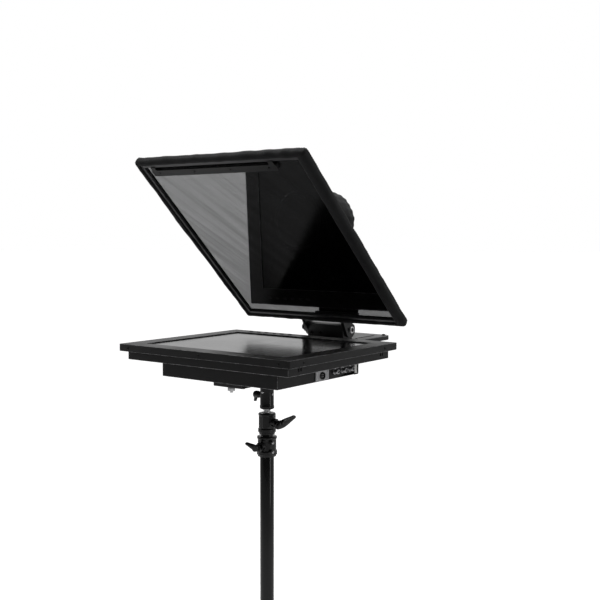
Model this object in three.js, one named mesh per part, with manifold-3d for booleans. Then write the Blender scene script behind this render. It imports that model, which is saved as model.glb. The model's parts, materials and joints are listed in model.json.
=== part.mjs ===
// A free-standing teleprompter: a flat-lying prompter monitor on its own folding stand, and behind
// it a beam-splitter glass in a tilted frame, with a fabric hood and lens sleeve, on a tilt bracket.
// Millimetres, +Z up. The origin is on the floor, on the axis of the stand's column, which is also
// the middle of the footprint. -Y is the presenter's side, +Y the camera's side.
import * as THREE from 'three';
import { mergeVertices } from 'three/addons/utils/BufferGeometryUtils.js';
import Module from 'manifold-3d';

const wasm = await Module();
wasm.setup();

// ---- driving dimensions -----------------------------------------------------------------------
const gap = 0.3; // between pieces that touch
const screenHeight = 1000; // height of the monitor's top face above the floor

// Monitor: a 19-inch 5:4 panel in an even bezel.
const monitorCentre = { x: -17.5, y: -5 };
const bezelSize = { width: 455, depth: 380, height: 15.3, wall: 2, corner: 3 };
const screenSize = { width: 376, depth: 301 };
const chassisInset = 13.4;
const chassisBottom = screenHeight - 33.6;
const boxRange = { x: [-172.5, 138], y: [-139.5, 145] }; // electronics box, in plan
const boxBottom = screenHeight - 68.9;
const sheetMetal = 1.5;

// Glass frame: its front plane passes through the lower front edge at this height and depth.
const frameTilt = THREE.MathUtils.degToRad(43.1); // from horizontal
const frameFoot = { y: 199.6, z: screenHeight + 35.9 };
const frameSize = { width: 439, height: 502, rail: 23, depth: 13 };
const glassThickness = 3;
const glassSetBack = 5;
const rebate = 8.4; // how far the glass runs in over the rails
const clamp = { length: 330, width: 16, fromTop: 29.4, offset: -22 };

// Hood.
const clothWall = 2.5;
const sleeveWall = 3.5;
const neck = { y: 112, z: screenHeight + 262, radius: 66, wall: 3.6, ring: 61 };
const sleeveProfile = [
  [0.4, 66], [25, 69], [60, 71], [95, 71], [118, 67], [130, 56], [136, 43], [138, 33]];
const hoodProud = 3.4; // how far the cloth's outer face stands off the frame's rails

// Tilt bracket behind the monitor.
const plateTop = screenHeight - 13;
const plateThickness = 10;
const pivot = { y: 232, z: screenHeight + 14 };
const blockHalf = 50;
const cheekThickness = 8;

// Stand.
const receiverBottom = screenHeight - 139.8;
const upperCollar = { bottom: screenHeight - 194, top: screenHeight - 148.5, radius: 17.3 };
const lowerCollar = { bottom: screenHeight - 242, top: screenHeight - 198, radius: 20 };
const tube = { column: 15, lower: 12.5, upper: 10, wall: 2.2, spigot: 8.5 };
const columnFoot = 100;
const legPivot = { radial: 34, z: 350 };
const legFoot = { radial: 395, z: 24 };
const strutPivot = { radial: 24, z: 130 };
const strutAlongLeg = 250; // from the leg's pivot to where the strut joins it
const legRadius = 9.5;
const legAzimuths = [-90, 30, 150];

// ---- finishes ---------------------------------------------------------------------------------
const finishes = {
  satinBlack: { color: 0x1f2023, roughness: 0.5, metalness: 0.3 },
  glossBlack: { color: 0x0c0c0d, roughness: 0.2, metalness: 0.4 },
  castBlack: { color: 0x161617, roughness: 0.45, metalness: 0.3 },
  greyAluminium: { color: 0x4a4b4e, roughness: 0.4, metalness: 0.8 },
  silver: { color: 0xc8c9cb, roughness: 0.25, metalness: 1 },
  screen: { color: 0x050506, roughness: 0.05, metalness: 0 },
  glass: { color: 0x6a7075, roughness: 0.02, metalness: 0 },
  cloth: { color: 0x17171a, roughness: 0.95, metalness: 0 },
  plastic: { color: 0x101011, roughness: 0.5, metalness: 0 },
  rubber: { color: 0x0b0b0b, roughness: 0.9, metalness: 0 },
  board: { color: 0x1c4a2e, roughness: 0.6, metalness: 0 },
};

// ---- geometry helpers -------------------------------------------------------------------------
function block([x0, x1], [y0, y1], [z0, z1]) {
  const box = new THREE.BoxGeometry(x1 - x0, y1 - y0, z1 - z0);
  return box.translate((x0 + x1) / 2, (y0 + y1) / 2, (z0 + z1) / 2);
}

function rod(start, end, radius, sides = 24) {
  const from = new THREE.Vector3(...start);
  const span = new THREE.Vector3(...end).sub(from);
  const cylinder = new THREE.CylinderGeometry(radius, radius, span.length(), sides);
  const turn = new THREE.Quaternion();
  turn.setFromUnitVectors(new THREE.Vector3(0, 1, 0), span.clone().normalize());
  const middle = from.addScaledVector(span, 0.5);
  return cylinder.applyQuaternion(turn).translate(middle.x, middle.y, middle.z);
}

const upright = (radius, z0, z1, sides) => rod([0, 0, z0], [0, 0, z1], radius, sides);

function roundedRectangle(width, height, radius) {
  const w = width / 2;
  const h = height / 2;
  const shape = new THREE.Shape();
  shape.moveTo(-w + radius, -h);
  shape.absarc(w - radius, -h + radius, radius, -Math.PI / 2, 0, false);
  shape.absarc(w - radius, h - radius, radius, 0, Math.PI / 2, false);
  shape.absarc(-w + radius, h - radius, radius, Math.PI / 2, Math.PI, false);
  shape.absarc(-w + radius, -h + radius, radius, Math.PI, 1.5 * Math.PI, false);
  return shape;
}

function slab(shape, z0, z1, curveSegments = 4) {
  const options = { depth: z1 - z0, bevelEnabled: false, curveSegments };
  return new THREE.ExtrudeGeometry(shape, options).translate(0, 0, z0);
}

// A profile drawn in (Y, Z), run along X from x0 to x1.
function alongX(shape, x0, x1, curveSegments = 8) {
  const toYZ = new THREE.Matrix4().makeBasis(
    new THREE.Vector3(0, 1, 0), new THREE.Vector3(0, 0, 1), new THREE.Vector3(1, 0, 0));
  return slab(shape, x0, x1, curveSegments).applyMatrix4(toYZ);
}

function polygon(points) {
  return new THREE.Shape(points.map(([x, y]) => new THREE.Vector2(x, y)));
}

function solid(geometry) {
  const plain = geometry.clone();
  plain.deleteAttribute('normal');
  plain.deleteAttribute('uv');
  const merged = mergeVertices(plain, 1e-4);
  const vertProperties = merged.attributes.position.array;
  const triVerts = new Uint32Array(merged.index.array);
  return new wasm.Manifold(new wasm.Mesh({ numProp: 3, vertProperties, triVerts }));
}

function geometryOf(body) {
  const mesh = body.getMesh();
  const geometry = new THREE.BufferGeometry();
  geometry.setAttribute('position', new THREE.BufferAttribute(mesh.vertProperties, 3));
  geometry.setIndex(new THREE.BufferAttribute(mesh.triVerts, 1));
  geometry.computeVertexNormals();
  return geometry;
}

const join = (...shapes) => geometryOf(shapes.map(solid).reduce((a, b) => a.add(b)));

function cut(base, ...tools) {
  return geometryOf(tools.map(solid).reduce((a, b) => a.subtract(b), solid(base)));
}

// A closed skin through rings of equally many points; the last ring joins back to the first.
function closedLoft(rings) {
  const count = rings[0].length;
  const positions = rings.flat().flatMap((p) => [p.x, p.y, p.z]);
  const index = [];
  rings.forEach((ring, i) => {
    const next = (i + 1) % rings.length;
    for (let k = 0; k < count; k += 1) {
      const [a, b] = [i * count + k, i * count + ((k + 1) % count)];
      const [c, d] = [next * count + k, next * count + ((k + 1) % count)];
      index.push(a, d, b, a, c, d);
    }
  });
  const geometry = new THREE.BufferGeometry();
  geometry.setAttribute('position', new THREE.Float32BufferAttribute(positions, 3));
  geometry.setIndex(index);
  return geometry;
}

// ---- the assembly -----------------------------------------------------------------------------
const teleprompter = new THREE.Group();

function addPart(parent, name, geometry, finish) {
  const mesh = new THREE.Mesh(geometry, new THREE.MeshStandardMaterial(finishes[finish]));
  mesh.name = name;
  parent.add(mesh);
}

// A T-handle on a screw that points along +X from the origin: shank, hub and a wing with one long
// arm and one short one. The wing leans, so that the long arm's end stands clear of the collar.
const wingOutline = [[-0.1, -0.3], [-0.17, -0.05], [-0.1, 0.3], [-0.02, 0.6], [0.12, 0.62],
  [0.16, 0.3], [0.17, -0.05], [0.06, -0.3]]; // across and along, in wing lengths
const wingLean = 0.35;

function tHandle(stem, wingLength, turn) {
  const hub = rod([stem, 0, 0], [stem + 12, 0, 0], 7.5, 16);
  const shank = rod([0, 0, 0], [stem + 1, 0, 0], 4.5, 12);
  const outline = polygon(wingOutline.map(([y, z]) => [y * wingLength, z * wingLength]).reverse());
  const lean = new THREE.Matrix4().makeShear(0, 0, 0, 0, wingLean, 0);
  const wing = alongX(outline, stem + 4, stem + 12).applyMatrix4(lean).rotateX(turn);
  return join(hub, shank, wing);
}

function monitor(group) {
  const { x, y } = monitorCentre;
  const { width, depth, height, wall, corner } = bezelSize;
  const [z0, z1] = [screenHeight - height, screenHeight];
  const place = (shape) => shape.translate(x, y, 0);
  const buttonPitch = 23.2;
  const buttonRow = { x: -183.4, y: 168 };
  const buttonPlaces = Array.from({ length: 6 }, (_, i) => buttonRow.x + i * buttonPitch);
  const buttonBlock = (bx, spare, low, high) => slab(
    roundedRectangle(10 + spare, 4.4 + spare, 2 + spare / 2), low, high, 3).translate(bx, buttonRow.y, 0);

  const cavity = block([-width / 2 + wall, width / 2 - wall], [-depth / 2 + wall, depth / 2 - wall],
    [z0 - 1, z1 - wall]);
  const window = block([-screenSize.width / 2, screenSize.width / 2],
    [-screenSize.depth / 2, screenSize.depth / 2], [z0 - 1, z1 + 1]);
  addPart(group, 'monitor_bezel', cut(
    place(slab(roundedRectangle(width, depth, corner), z0, z1)), place(cavity), place(window),
    ...buttonPlaces.map((bx) => buttonBlock(bx, 0.8, z0, z1 + 1))), 'satinBlack');

  const [cw, cd] = [width - 2 * chassisInset, depth - 2 * chassisInset];
  const tray = place(block([-cw / 2, cw / 2], [-cd / 2, cd / 2], [chassisBottom, z1 - 7.5]));
  const hollow = place(block([-cw / 2 + sheetMetal, cw / 2 - sheetMetal],
    [-cd / 2 + sheetMetal, cd / 2 - sheetMetal], [chassisBottom + sheetMetal, z1]));
  addPart(group, 'monitor_chassis', cut(tray, hollow), 'satinBlack');

  const panelMargin = 10;
  addPart(group, 'lcd_panel', place(block(
    [-screenSize.width / 2 - panelMargin, screenSize.width / 2 + panelMargin],
    [-screenSize.depth / 2 - panelMargin, screenSize.depth / 2 + panelMargin],
    [z1 - wall - gap - 10, z1 - wall - gap])), 'screen');

  buttonPlaces.forEach((bx, i) => addPart(
    group, `button_${i + 1}`, buttonBlock(bx, 0, z1 - 6.5, z1 + 1.2), 'plastic'));
}

function electronics(group) {
  const [x0, x1] = boxRange.x;
  const [y0, y1] = boxRange.y;
  const top = chassisBottom - gap;
  const wallX = [x1 - 4, x1 + 4];
  const socket = { y: 7, z: screenHeight - 57.5 };
  const videoSockets = [52, 80, 108];
  const videoZ = screenHeight - 53.5;
  const rocker = { y: 134, z: screenHeight - 56.5, half: 5, halfHeight: 10.5 };
  const box = cut(
    block([x0, x1], [y0, y1], [boxBottom, top]),
    block([x0 + sheetMetal, x1 - sheetMetal], [y0 + sheetMetal, y1 - sheetMetal],
      [boxBottom + sheetMetal, top + 1]),
    rod([wallX[0], socket.y, socket.z], [wallX[1], socket.y, socket.z], 8.5),
    ...videoSockets.map((y) => rod([wallX[0], y, videoZ], [wallX[1], y, videoZ], 5.3, 16)),
    block(wallX, [rocker.y - rocker.half - 0.6, rocker.y + rocker.half + 0.6],
      [rocker.z - rocker.halfHeight - 1, rocker.z + rocker.halfHeight + 1]));
  addPart(group, 'electronics_box', box, 'satinBlack');

  const plate = block([x1 + gap, x1 + 2.3], [-16, 30], [screenHeight - 67, screenHeight - 46]);
  addPart(group, 'connector_plate', cut(
    plate, rod([wallX[0], socket.y, socket.z], [wallX[1], socket.y, socket.z], 8.5)), 'silver');
  addPart(group, 'power_socket', cut(
    rod([x1 - 10, socket.y, socket.z], [x1 + 4.5, socket.y, socket.z], 8),
    rod([x1 - 2, socket.y, socket.z], [x1 + 6, socket.y, socket.z], 6.4, 16)), 'plastic');
  videoSockets.forEach((y, i) => addPart(
    group, `video_socket_${i + 1}`, rod([x1 - 8, y, videoZ], [x1 + 12, y, videoZ], 4.8, 16), 'silver'));

  // The rocker is a shallow vee that rocks about a line along Y in the middle of the box's wall.
  const face = polygon([[x1 - 5, -10], [x1 + 0.6, -10.2], [x1 - 0.4, 0], [x1 + 0.6, 10.2], [x1 - 5, 10]]);
  const rockerBody = slab(face, -rocker.half, rocker.half).rotateX(Math.PI / 2);
  addPart(group, 'rocker_switch', rockerBody.translate(0, rocker.y, rocker.z), 'silver');

  const boardZ = boxBottom + 8;
  addPart(group, 'controller_board', join(
    block([-100, 90], [-70, 70], [boardZ, boardZ + 1.6]),
    block([-60, -20], [-20, 20], [boardZ + 1, boardZ + 9]),
    block([30, 70], [-50, -10], [boardZ + 1, boardZ + 14]),
    block([-90, -75], [30, 60], [boardZ + 1, boardZ + 16])), 'board');
}

function monitorMount(group) {
  const top = boxBottom - gap;
  const plateBottom = top - 6;
  const saddleBottom = screenHeight - 96;
  const [left, deepEnd, right] = [-113, -32, 105]; // to the right of deepEnd only the plate goes on
  const outline = polygon([[left, saddleBottom], [deepEnd, saddleBottom], [deepEnd, plateBottom],
    [right, plateBottom], [right, top], [left, top]]);
  addPart(group, 'mount_saddle', slab(outline, -45, 45).rotateX(Math.PI / 2), 'castBlack');
  addPart(group, 'saddle_nut',
    rod([-69, -36, saddleBottom - 8], [-69, -36, saddleBottom - gap], 8.5, 6), 'silver');

  addPart(group, 'stud_receiver', cut(
    upright(15.4, receiverBottom, plateBottom - gap),
    upright(tube.spigot + gap, receiverBottom - 1, screenHeight - 101)), 'glossBlack');
  const knob = tHandle(5, 25, Math.PI).rotateZ(Math.PI);
  addPart(group, 'receiver_knob', knob.translate(-15.4 - gap, 0, screenHeight - 112), 'castBlack');
}

function stand(group) {
  const { column, lower, upper, wall, spigot } = tube;
  const lowerStep = screenHeight - 215; // where the lower collar narrows onto the lower riser
  const upperStep = screenHeight - 171;
  const pipe = (radius, bore, z0, z1) => cut(upright(radius, z0, z1), upright(bore, z0 - 1, z1 + 1));

  addPart(group, 'column', pipe(column, column - wall, columnFoot, lowerStep - gap), 'glossBlack');
  addPart(group, 'riser_lower', pipe(lower, lower - 2, 380, upperStep - gap), 'glossBlack');
  addPart(group, 'riser_upper', pipe(upper, upper - 2, 420, upperCollar.top - 0.5), 'glossBlack');
  addPart(group, 'spigot', upright(spigot, upperCollar.top - 0.5 + gap, screenHeight - 102), 'silver');

  const collar = ({ bottom, top, radius }, step, below, above, boss) => cut(
    join(upright(radius, bottom, top), upright(radius + 2, bottom + 4, bottom + 12), boss),
    upright(below, bottom - 1, step), upright(above, step - 1, top + 1));
  const bossLength = 26;
  const upperHandleZ = screenHeight - 168;
  const lowerHandleZ = screenHeight - 219;
  addPart(group, 'upper_collar', collar(upperCollar, upperStep, lower + gap, upper + gap,
    rod([0, 0, upperHandleZ], [bossLength, 0, upperHandleZ], 9, 16)), 'castBlack');
  addPart(group, 'lower_collar', collar(lowerCollar, lowerStep, column + gap, lower + gap,
    rod([0, 0, lowerHandleZ], [0, -bossLength, lowerHandleZ], 10, 16)), 'castBlack');

  const turned = THREE.MathUtils.degToRad;
  addPart(group, 'upper_handle',
    tHandle(8, 50, turned(-60)).translate(bossLength + gap, 0, upperHandleZ), 'castBlack');
  addPart(group, 'lower_handle', tHandle(4, 36, turned(70)).rotateZ(-Math.PI / 2)
    .translate(0, -bossLength - gap, lowerHandleZ), 'castBlack');
}

function standBase(group) {
  const bore = tube.column + gap;
  const spread = (shape, azimuth) => shape.rotateZ(THREE.MathUtils.degToRad(azimuth));
  const collarSpan = [335, 372];
  const hubSpan = [112, 148];
  const lug = (side) => block([12, legPivot.radial + 9], side, [legPivot.z - 11, legPivot.z + 11]);
  const ear = () => block([8, 32], [16.6, 20.6], [strutPivot.z - 8, strutPivot.z + 8]);

  const lugs = legAzimuths.flatMap((a) => [spread(lug([10, 14]), a), spread(lug([-14, -10]), a)]);
  const knobBoss = rod([0, 10, 353], [0, 30, 353], 9, 16);
  addPart(group, 'leg_collar',
    cut(join(upright(22, ...collarSpan), knobBoss, ...lugs), upright(bore, 300, 400)), 'castBlack');
  addPart(group, 'base_knob',
    tHandle(5, 40, 0.3).rotateZ(Math.PI / 2).translate(0, 30 + gap, 353), 'castBlack');
  addPart(group, 'base_hub',
    cut(join(upright(20, ...hubSpan), ...legAzimuths.map((a) => spread(ear(), a))),
      upright(bore, 90, 170)), 'castBlack');

  // In the plane of one leg: along the leg from its pivot to its foot.
  const run = new THREE.Vector2(legFoot.radial - legPivot.radial, legFoot.z - legPivot.z);
  const length = run.length();
  run.normalize();
  const along = (distance) => [
    legPivot.radial + run.x * distance, 0, legPivot.z + run.y * distance];
  const [jointRadial, , jointZ] = along(strutAlongLeg);
  const strutRun = [jointRadial - strutPivot.radial, jointZ - strutPivot.z];
  const strutLength = Math.hypot(...strutRun);
  const strutAngle = Math.atan2(strutRun[1], strutRun[0]);

  legAzimuths.forEach((azimuth, i) => {
    const leg = rod(along(-5), along(length), legRadius, 16);
    addPart(group, `leg_${i + 1}`, spread(leg, azimuth), 'glossBlack');
    const bar = slab(roundedRectangle(strutLength + 12, 12, 5.9), -16, -12, 3);
    bar.translate(strutLength / 2, 0, 0).rotateX(Math.PI / 2).rotateY(-strutAngle);
    bar.translate(strutPivot.radial, 0, strutPivot.z);
    addPart(group, `strut_${i + 1}`, spread(bar, azimuth), 'castBlack');
    const pad = rod([legFoot.radial, 0, 0], [legFoot.radial, 0, 34], 15);
    const socket = rod(along(length - 60), along(length + 0.4), legRadius + gap, 16);
    addPart(group, `foot_${i + 1}`, spread(cut(pad, socket), azimuth), 'rubber');
  });
}

// The glass frame's group has X across, Y up along the frame and Z out of its front.
function glassFrame(parent) {
  const group = new THREE.Group();
  group.position.set(0, frameFoot.y, frameFoot.z);
  group.rotation.x = Math.PI - frameTilt;
  parent.add(group);
  const { width, height, rail, depth } = frameSize;
  const back = -(glassSetBack + glassThickness + gap);
  const section = polygon([
    [0, 0], [rail - rebate, 0], [rail - rebate, back], [rail, back], [rail, -depth], [0, -depth]]);

  // One rail, lying along X with its outer edge on Y = 0, cut to a mitre at both ends.
  const railAlongX = (length) => {
    const bar = alongX(section, -length / 2, length / 2);
    const [h, g] = [length / 2, gap / 2];
    const mitre = slab(polygon([[-h + g, -1], [h - g, -1], [h - rail - g - 1, rail + 1],
      [-h + rail + g + 1, rail + 1]]), -depth - 1, 1);
    return geometryOf(solid(bar).intersect(solid(mitre)));
  };
  addPart(group, 'frame_bottom_rail', railAlongX(width), 'satinBlack');
  addPart(group, 'frame_top_rail',
    railAlongX(width).rotateZ(Math.PI).translate(0, height, 0), 'satinBlack');
  addPart(group, 'frame_right_rail',
    railAlongX(height).rotateZ(Math.PI / 2).translate(width / 2, height / 2, 0), 'satinBlack');
  addPart(group, 'frame_left_rail',
    railAlongX(height).rotateZ(-Math.PI / 2).translate(-width / 2, height / 2, 0), 'satinBlack');

  const edge = rail - rebate + 0.4; // from the rails' outer edge to the glass
  addPart(group, 'beamsplitter_glass', block([edge - width / 2, width / 2 - edge],
    [edge, height - edge], [-glassSetBack - glassThickness, -glassSetBack]), 'glass');

  // The clamp bar presses on the glass and reaches the top rail with a tab at both ends.
  const half = clamp.length / 2;
  const tabTop = clamp.fromTop - (rail - rebate) + 1.8;
  const tab = (x) => block([x, x + 12], [4, tabTop], [gap, 2]);
  const bar = slab(roundedRectangle(clamp.length, clamp.width, 4), -glassSetBack + gap, 2, 3);
  addPart(group, 'upper_glass_clamp', join(bar, tab(-half + 3), tab(half - 15))
    .translate(clamp.offset, height - clamp.fromTop, 0), 'satinBlack');
}

// A point given across the frame, up it and behind its front plane, in the object's frame.
function frameToWorld(x, up, behind) {
  const [c, s] = [Math.cos(frameTilt), Math.sin(frameTilt)];
  return new THREE.Vector3(x, frameFoot.y - up * c + behind * s, frameFoot.z + up * s + behind * c);
}

function hood(group) {
  const { width, height } = frameSize;
  const edgeSteps = [-0.66, -0.33, 0, 0.33, 0.66];
  const cornerSteps = [0, 0.5, 1];
  // Ring points run round the outline: bottom edge, right, top, left, with three at each corner.
  const ringPlaces = [0, 1, 2, 3].flatMap((side) => [
    ...edgeSteps.map((along) => ({ side, along })),
    ...cornerSteps.map((turn) => ({ side, turn })),
  ]);
  const outward = (angle) => [Math.sin(angle), -Math.cos(angle)];

  const frameRing = (grow, behind, corner) => ringPlaces.map(({ side, along, turn }) => {
    const [hw, hh] = [width / 2 + grow, height / 2 + grow];
    const [half, reach] = side % 2 ? [hh, hw] : [hw, hh];
    const angle = (side + (turn ?? 0)) * Math.PI / 2;
    const [nx, ny] = outward(side * Math.PI / 2);
    const [tx, ty] = [-ny, nx];
    if (along !== undefined) {
      const run = along * (half - corner);
      return frameToWorld(nx * reach + tx * run, height / 2 + ny * reach + ty * run, behind);
    }
    const [deep, far] = [reach - corner, half - corner];
    const [ax, ay] = outward(angle);
    const px = nx * deep + tx * far + ax * corner;
    const py = ny * deep + ty * far + ay * corner;
    return frameToWorld(px, height / 2 + py, behind);
  });
  const neckRing = (radius, y) => ringPlaces.map(({ side, along, turn }) => {
    const degrees = along !== undefined ? along * 63 : 43.5 + turn * 3;
    const [u, v] = outward(side * Math.PI / 2 + THREE.MathUtils.degToRad(degrees));
    return new THREE.Vector3(u * radius, y, neck.z + v * radius);
  });
  const between = (a, b, t) => a.map((p, i) => p.clone().lerp(b[i], t));

  const outerBack = frameRing(hoodProud, frameSize.depth + 1, 5.5);
  const outerNeck = neckRing(neck.radius, neck.y);
  const lining = hoodProud - clothWall;
  const innerBack = frameRing(-10, frameSize.depth + 1, 3);
  const innerNeck = neckRing(neck.radius - neck.wall, neck.y);
  const lip = -8;
  const rings = [
    frameRing(lip, -gap - clothWall, 4), frameRing(0, -gap - clothWall - 1.5, 10),
    frameRing(hoodProud, 1, 5.5), outerBack, between(outerBack, outerNeck, 0.3),
    between(outerBack, outerNeck, 0.65), outerNeck,
    innerNeck, between(innerBack, innerNeck, 0.65), between(innerBack, innerNeck, 0.3), innerBack,
    frameRing(lining, frameSize.depth + 0.5, 3), frameRing(lining, -gap, 3), frameRing(lip, -gap, 4),
  ];
  // The hood's skirt is open under the frame where the tilt bracket takes hold of the rail.
  const [low, high] = [frameToWorld(0, -14, -10), frameToWorld(0, -0.2, 34)];
  const notch = new THREE.BoxGeometry(2 * (blockHalf + 14), 14, 46);
  notch.rotateX(Math.PI - frameTilt);
  const middle = low.clone().add(high).multiplyScalar(0.5);
  notch.translate(middle.x, middle.y, middle.z);
  addPart(group, 'hood', cut(closedLoft(rings), notch), 'cloth');

  const [ringInside, ringLength] = [neck.ring - 4, 9];
  const ringProfile = [[ringInside, -ringLength], [neck.ring, -ringLength], [neck.ring, 0],
    [ringInside, 0], [ringInside, -ringLength]].map(([r, y]) => new THREE.Vector2(r, y));
  const ring = new THREE.LatheGeometry(ringProfile, 32);
  addPart(group, 'neck_ring', ring.translate(0, neck.y - 0.5, neck.z), 'plastic');

  const stayEnd = 58.5;
  [['left', -1], ['right', 1]].forEach(([label, side]) => {
    const foot = frameToWorld(side * 110, height - 34, frameSize.depth + 3);
    const head = [side * stayEnd * 0.5, neck.y - 13.5, neck.z + stayEnd * 0.86];
    addPart(group, `hood_stay_${label}`, rod(foot.toArray(), head, 2.5, 8), 'plastic');
  });

  const sleeve = sleeveProfile.map(([y, radius]) => new THREE.Vector2(radius, y));
  const inside = sleeveProfile.map(([y, radius]) => new THREE.Vector2(radius - sleeveWall, y));
  const sleeveSkin = new THREE.LatheGeometry([...sleeve, ...inside.reverse(), sleeve[0]], 32);
  addPart(group, 'lens_sleeve', sleeveSkin.translate(0, neck.y, neck.z), 'cloth');
}

function tiltBracket(group) {
  const linkBottom = chassisBottom - gap - 5;
  const plateBottom = plateTop - plateThickness;
  const [stepTop, stepBottom] = [plateTop - 1, plateBottom + 1]; // the plate's seats, 1 mm deep
  const [linkTop, linkFlange] = [stepBottom - gap, stepBottom - gap - 5];
  const link = polygon([
    [150, linkBottom], [180, linkBottom], [180, linkFlange], [290, linkFlange],
    [290, linkTop], [173, linkTop], [173, linkBottom + 5], [150, linkBottom + 5],
  ]);
  addPart(group, 'rear_link_bracket', alongX(link, -55, 55), 'castBlack');

  const outline = new THREE.Shape();
  const [halfWidth, front, rear, round] = [60, 196, 410, 22];
  outline.moveTo(-halfWidth, front);
  outline.lineTo(halfWidth, front);
  outline.absarc(halfWidth - round, rear - round, round, 0, Math.PI / 2, false);
  outline.absarc(-halfWidth + round, rear - round, round, Math.PI / 2, Math.PI, false);
  addPart(group, 'base_plate', cut(slab(outline, plateBottom, plateTop, 6),
    block([-halfWidth - 1, halfWidth + 1], [front - 1, 262], [stepTop, plateTop + 1]),
    block([-halfWidth - 1, halfWidth + 1], [front - 1, 292], [plateBottom - 1, stepBottom])),
  'greyAluminium');

  const pinRadius = 5;
  const bore = rod([-90, pivot.y, pivot.z], [90, pivot.y, pivot.z], pinRadius + gap, 16);
  const blockFoot = stepTop + gap;
  const blockBody = polygon([[214, blockFoot], [250, blockFoot], [250, pivot.z + 10],
    [245, pivot.z + 15], [219, pivot.z + 15], [214, pivot.z + 10]]);
  addPart(group, 'tilt_block', cut(alongX(blockBody, -blockHalf, blockHalf), bore,
    block([11, 47], [200, 260], [blockFoot - 1, plateTop + 5.5])), 'castBlack');

  // The leaf: a plate under the bottom rail, and a cheek down each side of the block to the pin.
  const inFrame = (up, behind) => {
    const p = frameToWorld(0, up, behind);
    return [p.y, p.z];
  };
  const { depth } = frameSize;
  const plate = polygon(
    [inFrame(-0.4, 0), inFrame(-0.4, depth), inFrame(-5.4, depth), inFrame(-5.4, 0)]);
  const cheek = new THREE.Shape();
  const round0 = THREE.MathUtils.degToRad(35);
  const round1 = THREE.MathUtils.degToRad(-165);
  cheek.moveTo(...inFrame(-0.4, 0));
  cheek.lineTo(...inFrame(-0.4, depth));
  cheek.absarc(pivot.y, pivot.z, 18, round0, round1, true);
  const inner = blockHalf + 0.5;
  const outer = inner + cheekThickness;
  addPart(group, 'tilt_leaf', cut(join(alongX(plate, -inner - 1, inner + 1),
    alongX(cheek, inner, outer), alongX(cheek, -outer, -inner)), bore), 'greyAluminium');
  addPart(group, 'tilt_pin', join(
    rod([-outer, pivot.y, pivot.z], [outer + 1, pivot.y, pivot.z], pinRadius, 16),
    rod([outer + gap, pivot.y, pivot.z], [outer + 5, pivot.y, pivot.z], 9.5, 24)), 'silver');
  addPart(group, 'tilt_lever', tHandle(4, 32, 0.35).rotateZ(Math.PI)
    .translate(-outer - gap, pivot.y, pivot.z), 'castBlack');
}

monitor(teleprompter);
electronics(teleprompter);
monitorMount(teleprompter);
stand(teleprompter);
standBase(teleprompter);
glassFrame(teleprompter);
hood(teleprompter);
tiltBracket(teleprompter);

export default teleprompter;
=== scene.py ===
# %% [markdown]
# # A free-standing teleprompter
# A prompter monitor lies flat on its own folding stand, and behind it a beam-splitter glass leans
# in a tilted frame with a fabric hood and a lens sleeve. The frame that is loaded first holds every
# part at its real size and place, in metres, with +Z up. This lesson gives those parts the skin
# that a maker would see: softened sheet-metal edges, castings, cloth, screws and stitches.

# %% Load the fixed frame
import json
import math

import bmesh
import bpy
import numpy as np
from mathutils import Matrix, Quaternion, Vector, noise


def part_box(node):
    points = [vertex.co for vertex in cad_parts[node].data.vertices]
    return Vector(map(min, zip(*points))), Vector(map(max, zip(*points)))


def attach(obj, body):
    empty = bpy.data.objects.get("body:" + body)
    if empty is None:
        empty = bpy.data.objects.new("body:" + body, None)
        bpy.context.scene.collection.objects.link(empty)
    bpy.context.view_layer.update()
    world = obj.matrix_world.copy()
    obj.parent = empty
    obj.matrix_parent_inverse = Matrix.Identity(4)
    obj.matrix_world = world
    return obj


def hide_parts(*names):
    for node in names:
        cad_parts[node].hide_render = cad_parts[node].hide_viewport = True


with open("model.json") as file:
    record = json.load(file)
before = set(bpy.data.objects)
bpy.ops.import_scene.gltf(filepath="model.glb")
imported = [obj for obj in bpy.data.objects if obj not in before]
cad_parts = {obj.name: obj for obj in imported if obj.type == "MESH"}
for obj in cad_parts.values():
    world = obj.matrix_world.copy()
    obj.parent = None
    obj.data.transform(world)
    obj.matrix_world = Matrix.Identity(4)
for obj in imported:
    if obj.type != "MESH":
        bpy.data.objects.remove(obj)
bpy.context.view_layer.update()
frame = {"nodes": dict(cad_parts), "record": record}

MM = 0.001
body_of = {node: body for body, nodes in frame["record"]["behaviour"]["bodies"].items()
           for node in nodes}


# %% [markdown]
# ## The camera
# A picture camera stands to the presenter's right, a little above the screen, and looks slightly
# down. The lens is a short telephoto, so the frame's edges stay nearly parallel. The direction is
# worked out from a turn about Z and a dip, which is easier to read than three Euler angles.

# %% Camera
camera_place = Vector((1.27325, -1.58218, 1.2353))
camera_turn, camera_dip, camera_roll = (math.radians(a) for a in (36.85, 4.02, 0.12))
LENS = 57.59


def looking(turn, dip):
    across = math.cos(dip)
    return Vector((-math.sin(turn) * across, math.cos(turn) * across, -math.sin(dip)))


camera_data = bpy.data.cameras.new("picture_camera")
camera_data.sensor_width = 36.0
camera_data.lens = LENS
camera_data.clip_start, camera_data.clip_end = 0.05, 200.0
camera = bpy.data.objects.new("picture_camera", camera_data)
bpy.context.scene.collection.objects.link(camera)
camera.location = camera_place
camera.rotation_mode = "QUATERNION"
camera.rotation_quaternion = (looking(camera_turn, camera_dip).to_track_quat("-Z", "Y")
                              @ Quaternion((0, 0, 1), camera_roll))
bpy.context.scene.camera = camera
print("camera at", tuple(round(v, 3) for v in camera.location))

# %% [markdown]
# ## The studio
# Black equipment is lit by what it reflects. A big pale room with a bright far side and a dim near
# side leaves the faces dark and draws thin light lines along the edges. The room is the world
# shader: bright for rays that go up or to the far side, and plain white where it is seen directly.

# %% White studio
bpy.context.scene.view_settings.view_transform = "Standard"
ROOM_DIM, ROOM_BRIGHT = 0.07, 0.82


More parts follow.
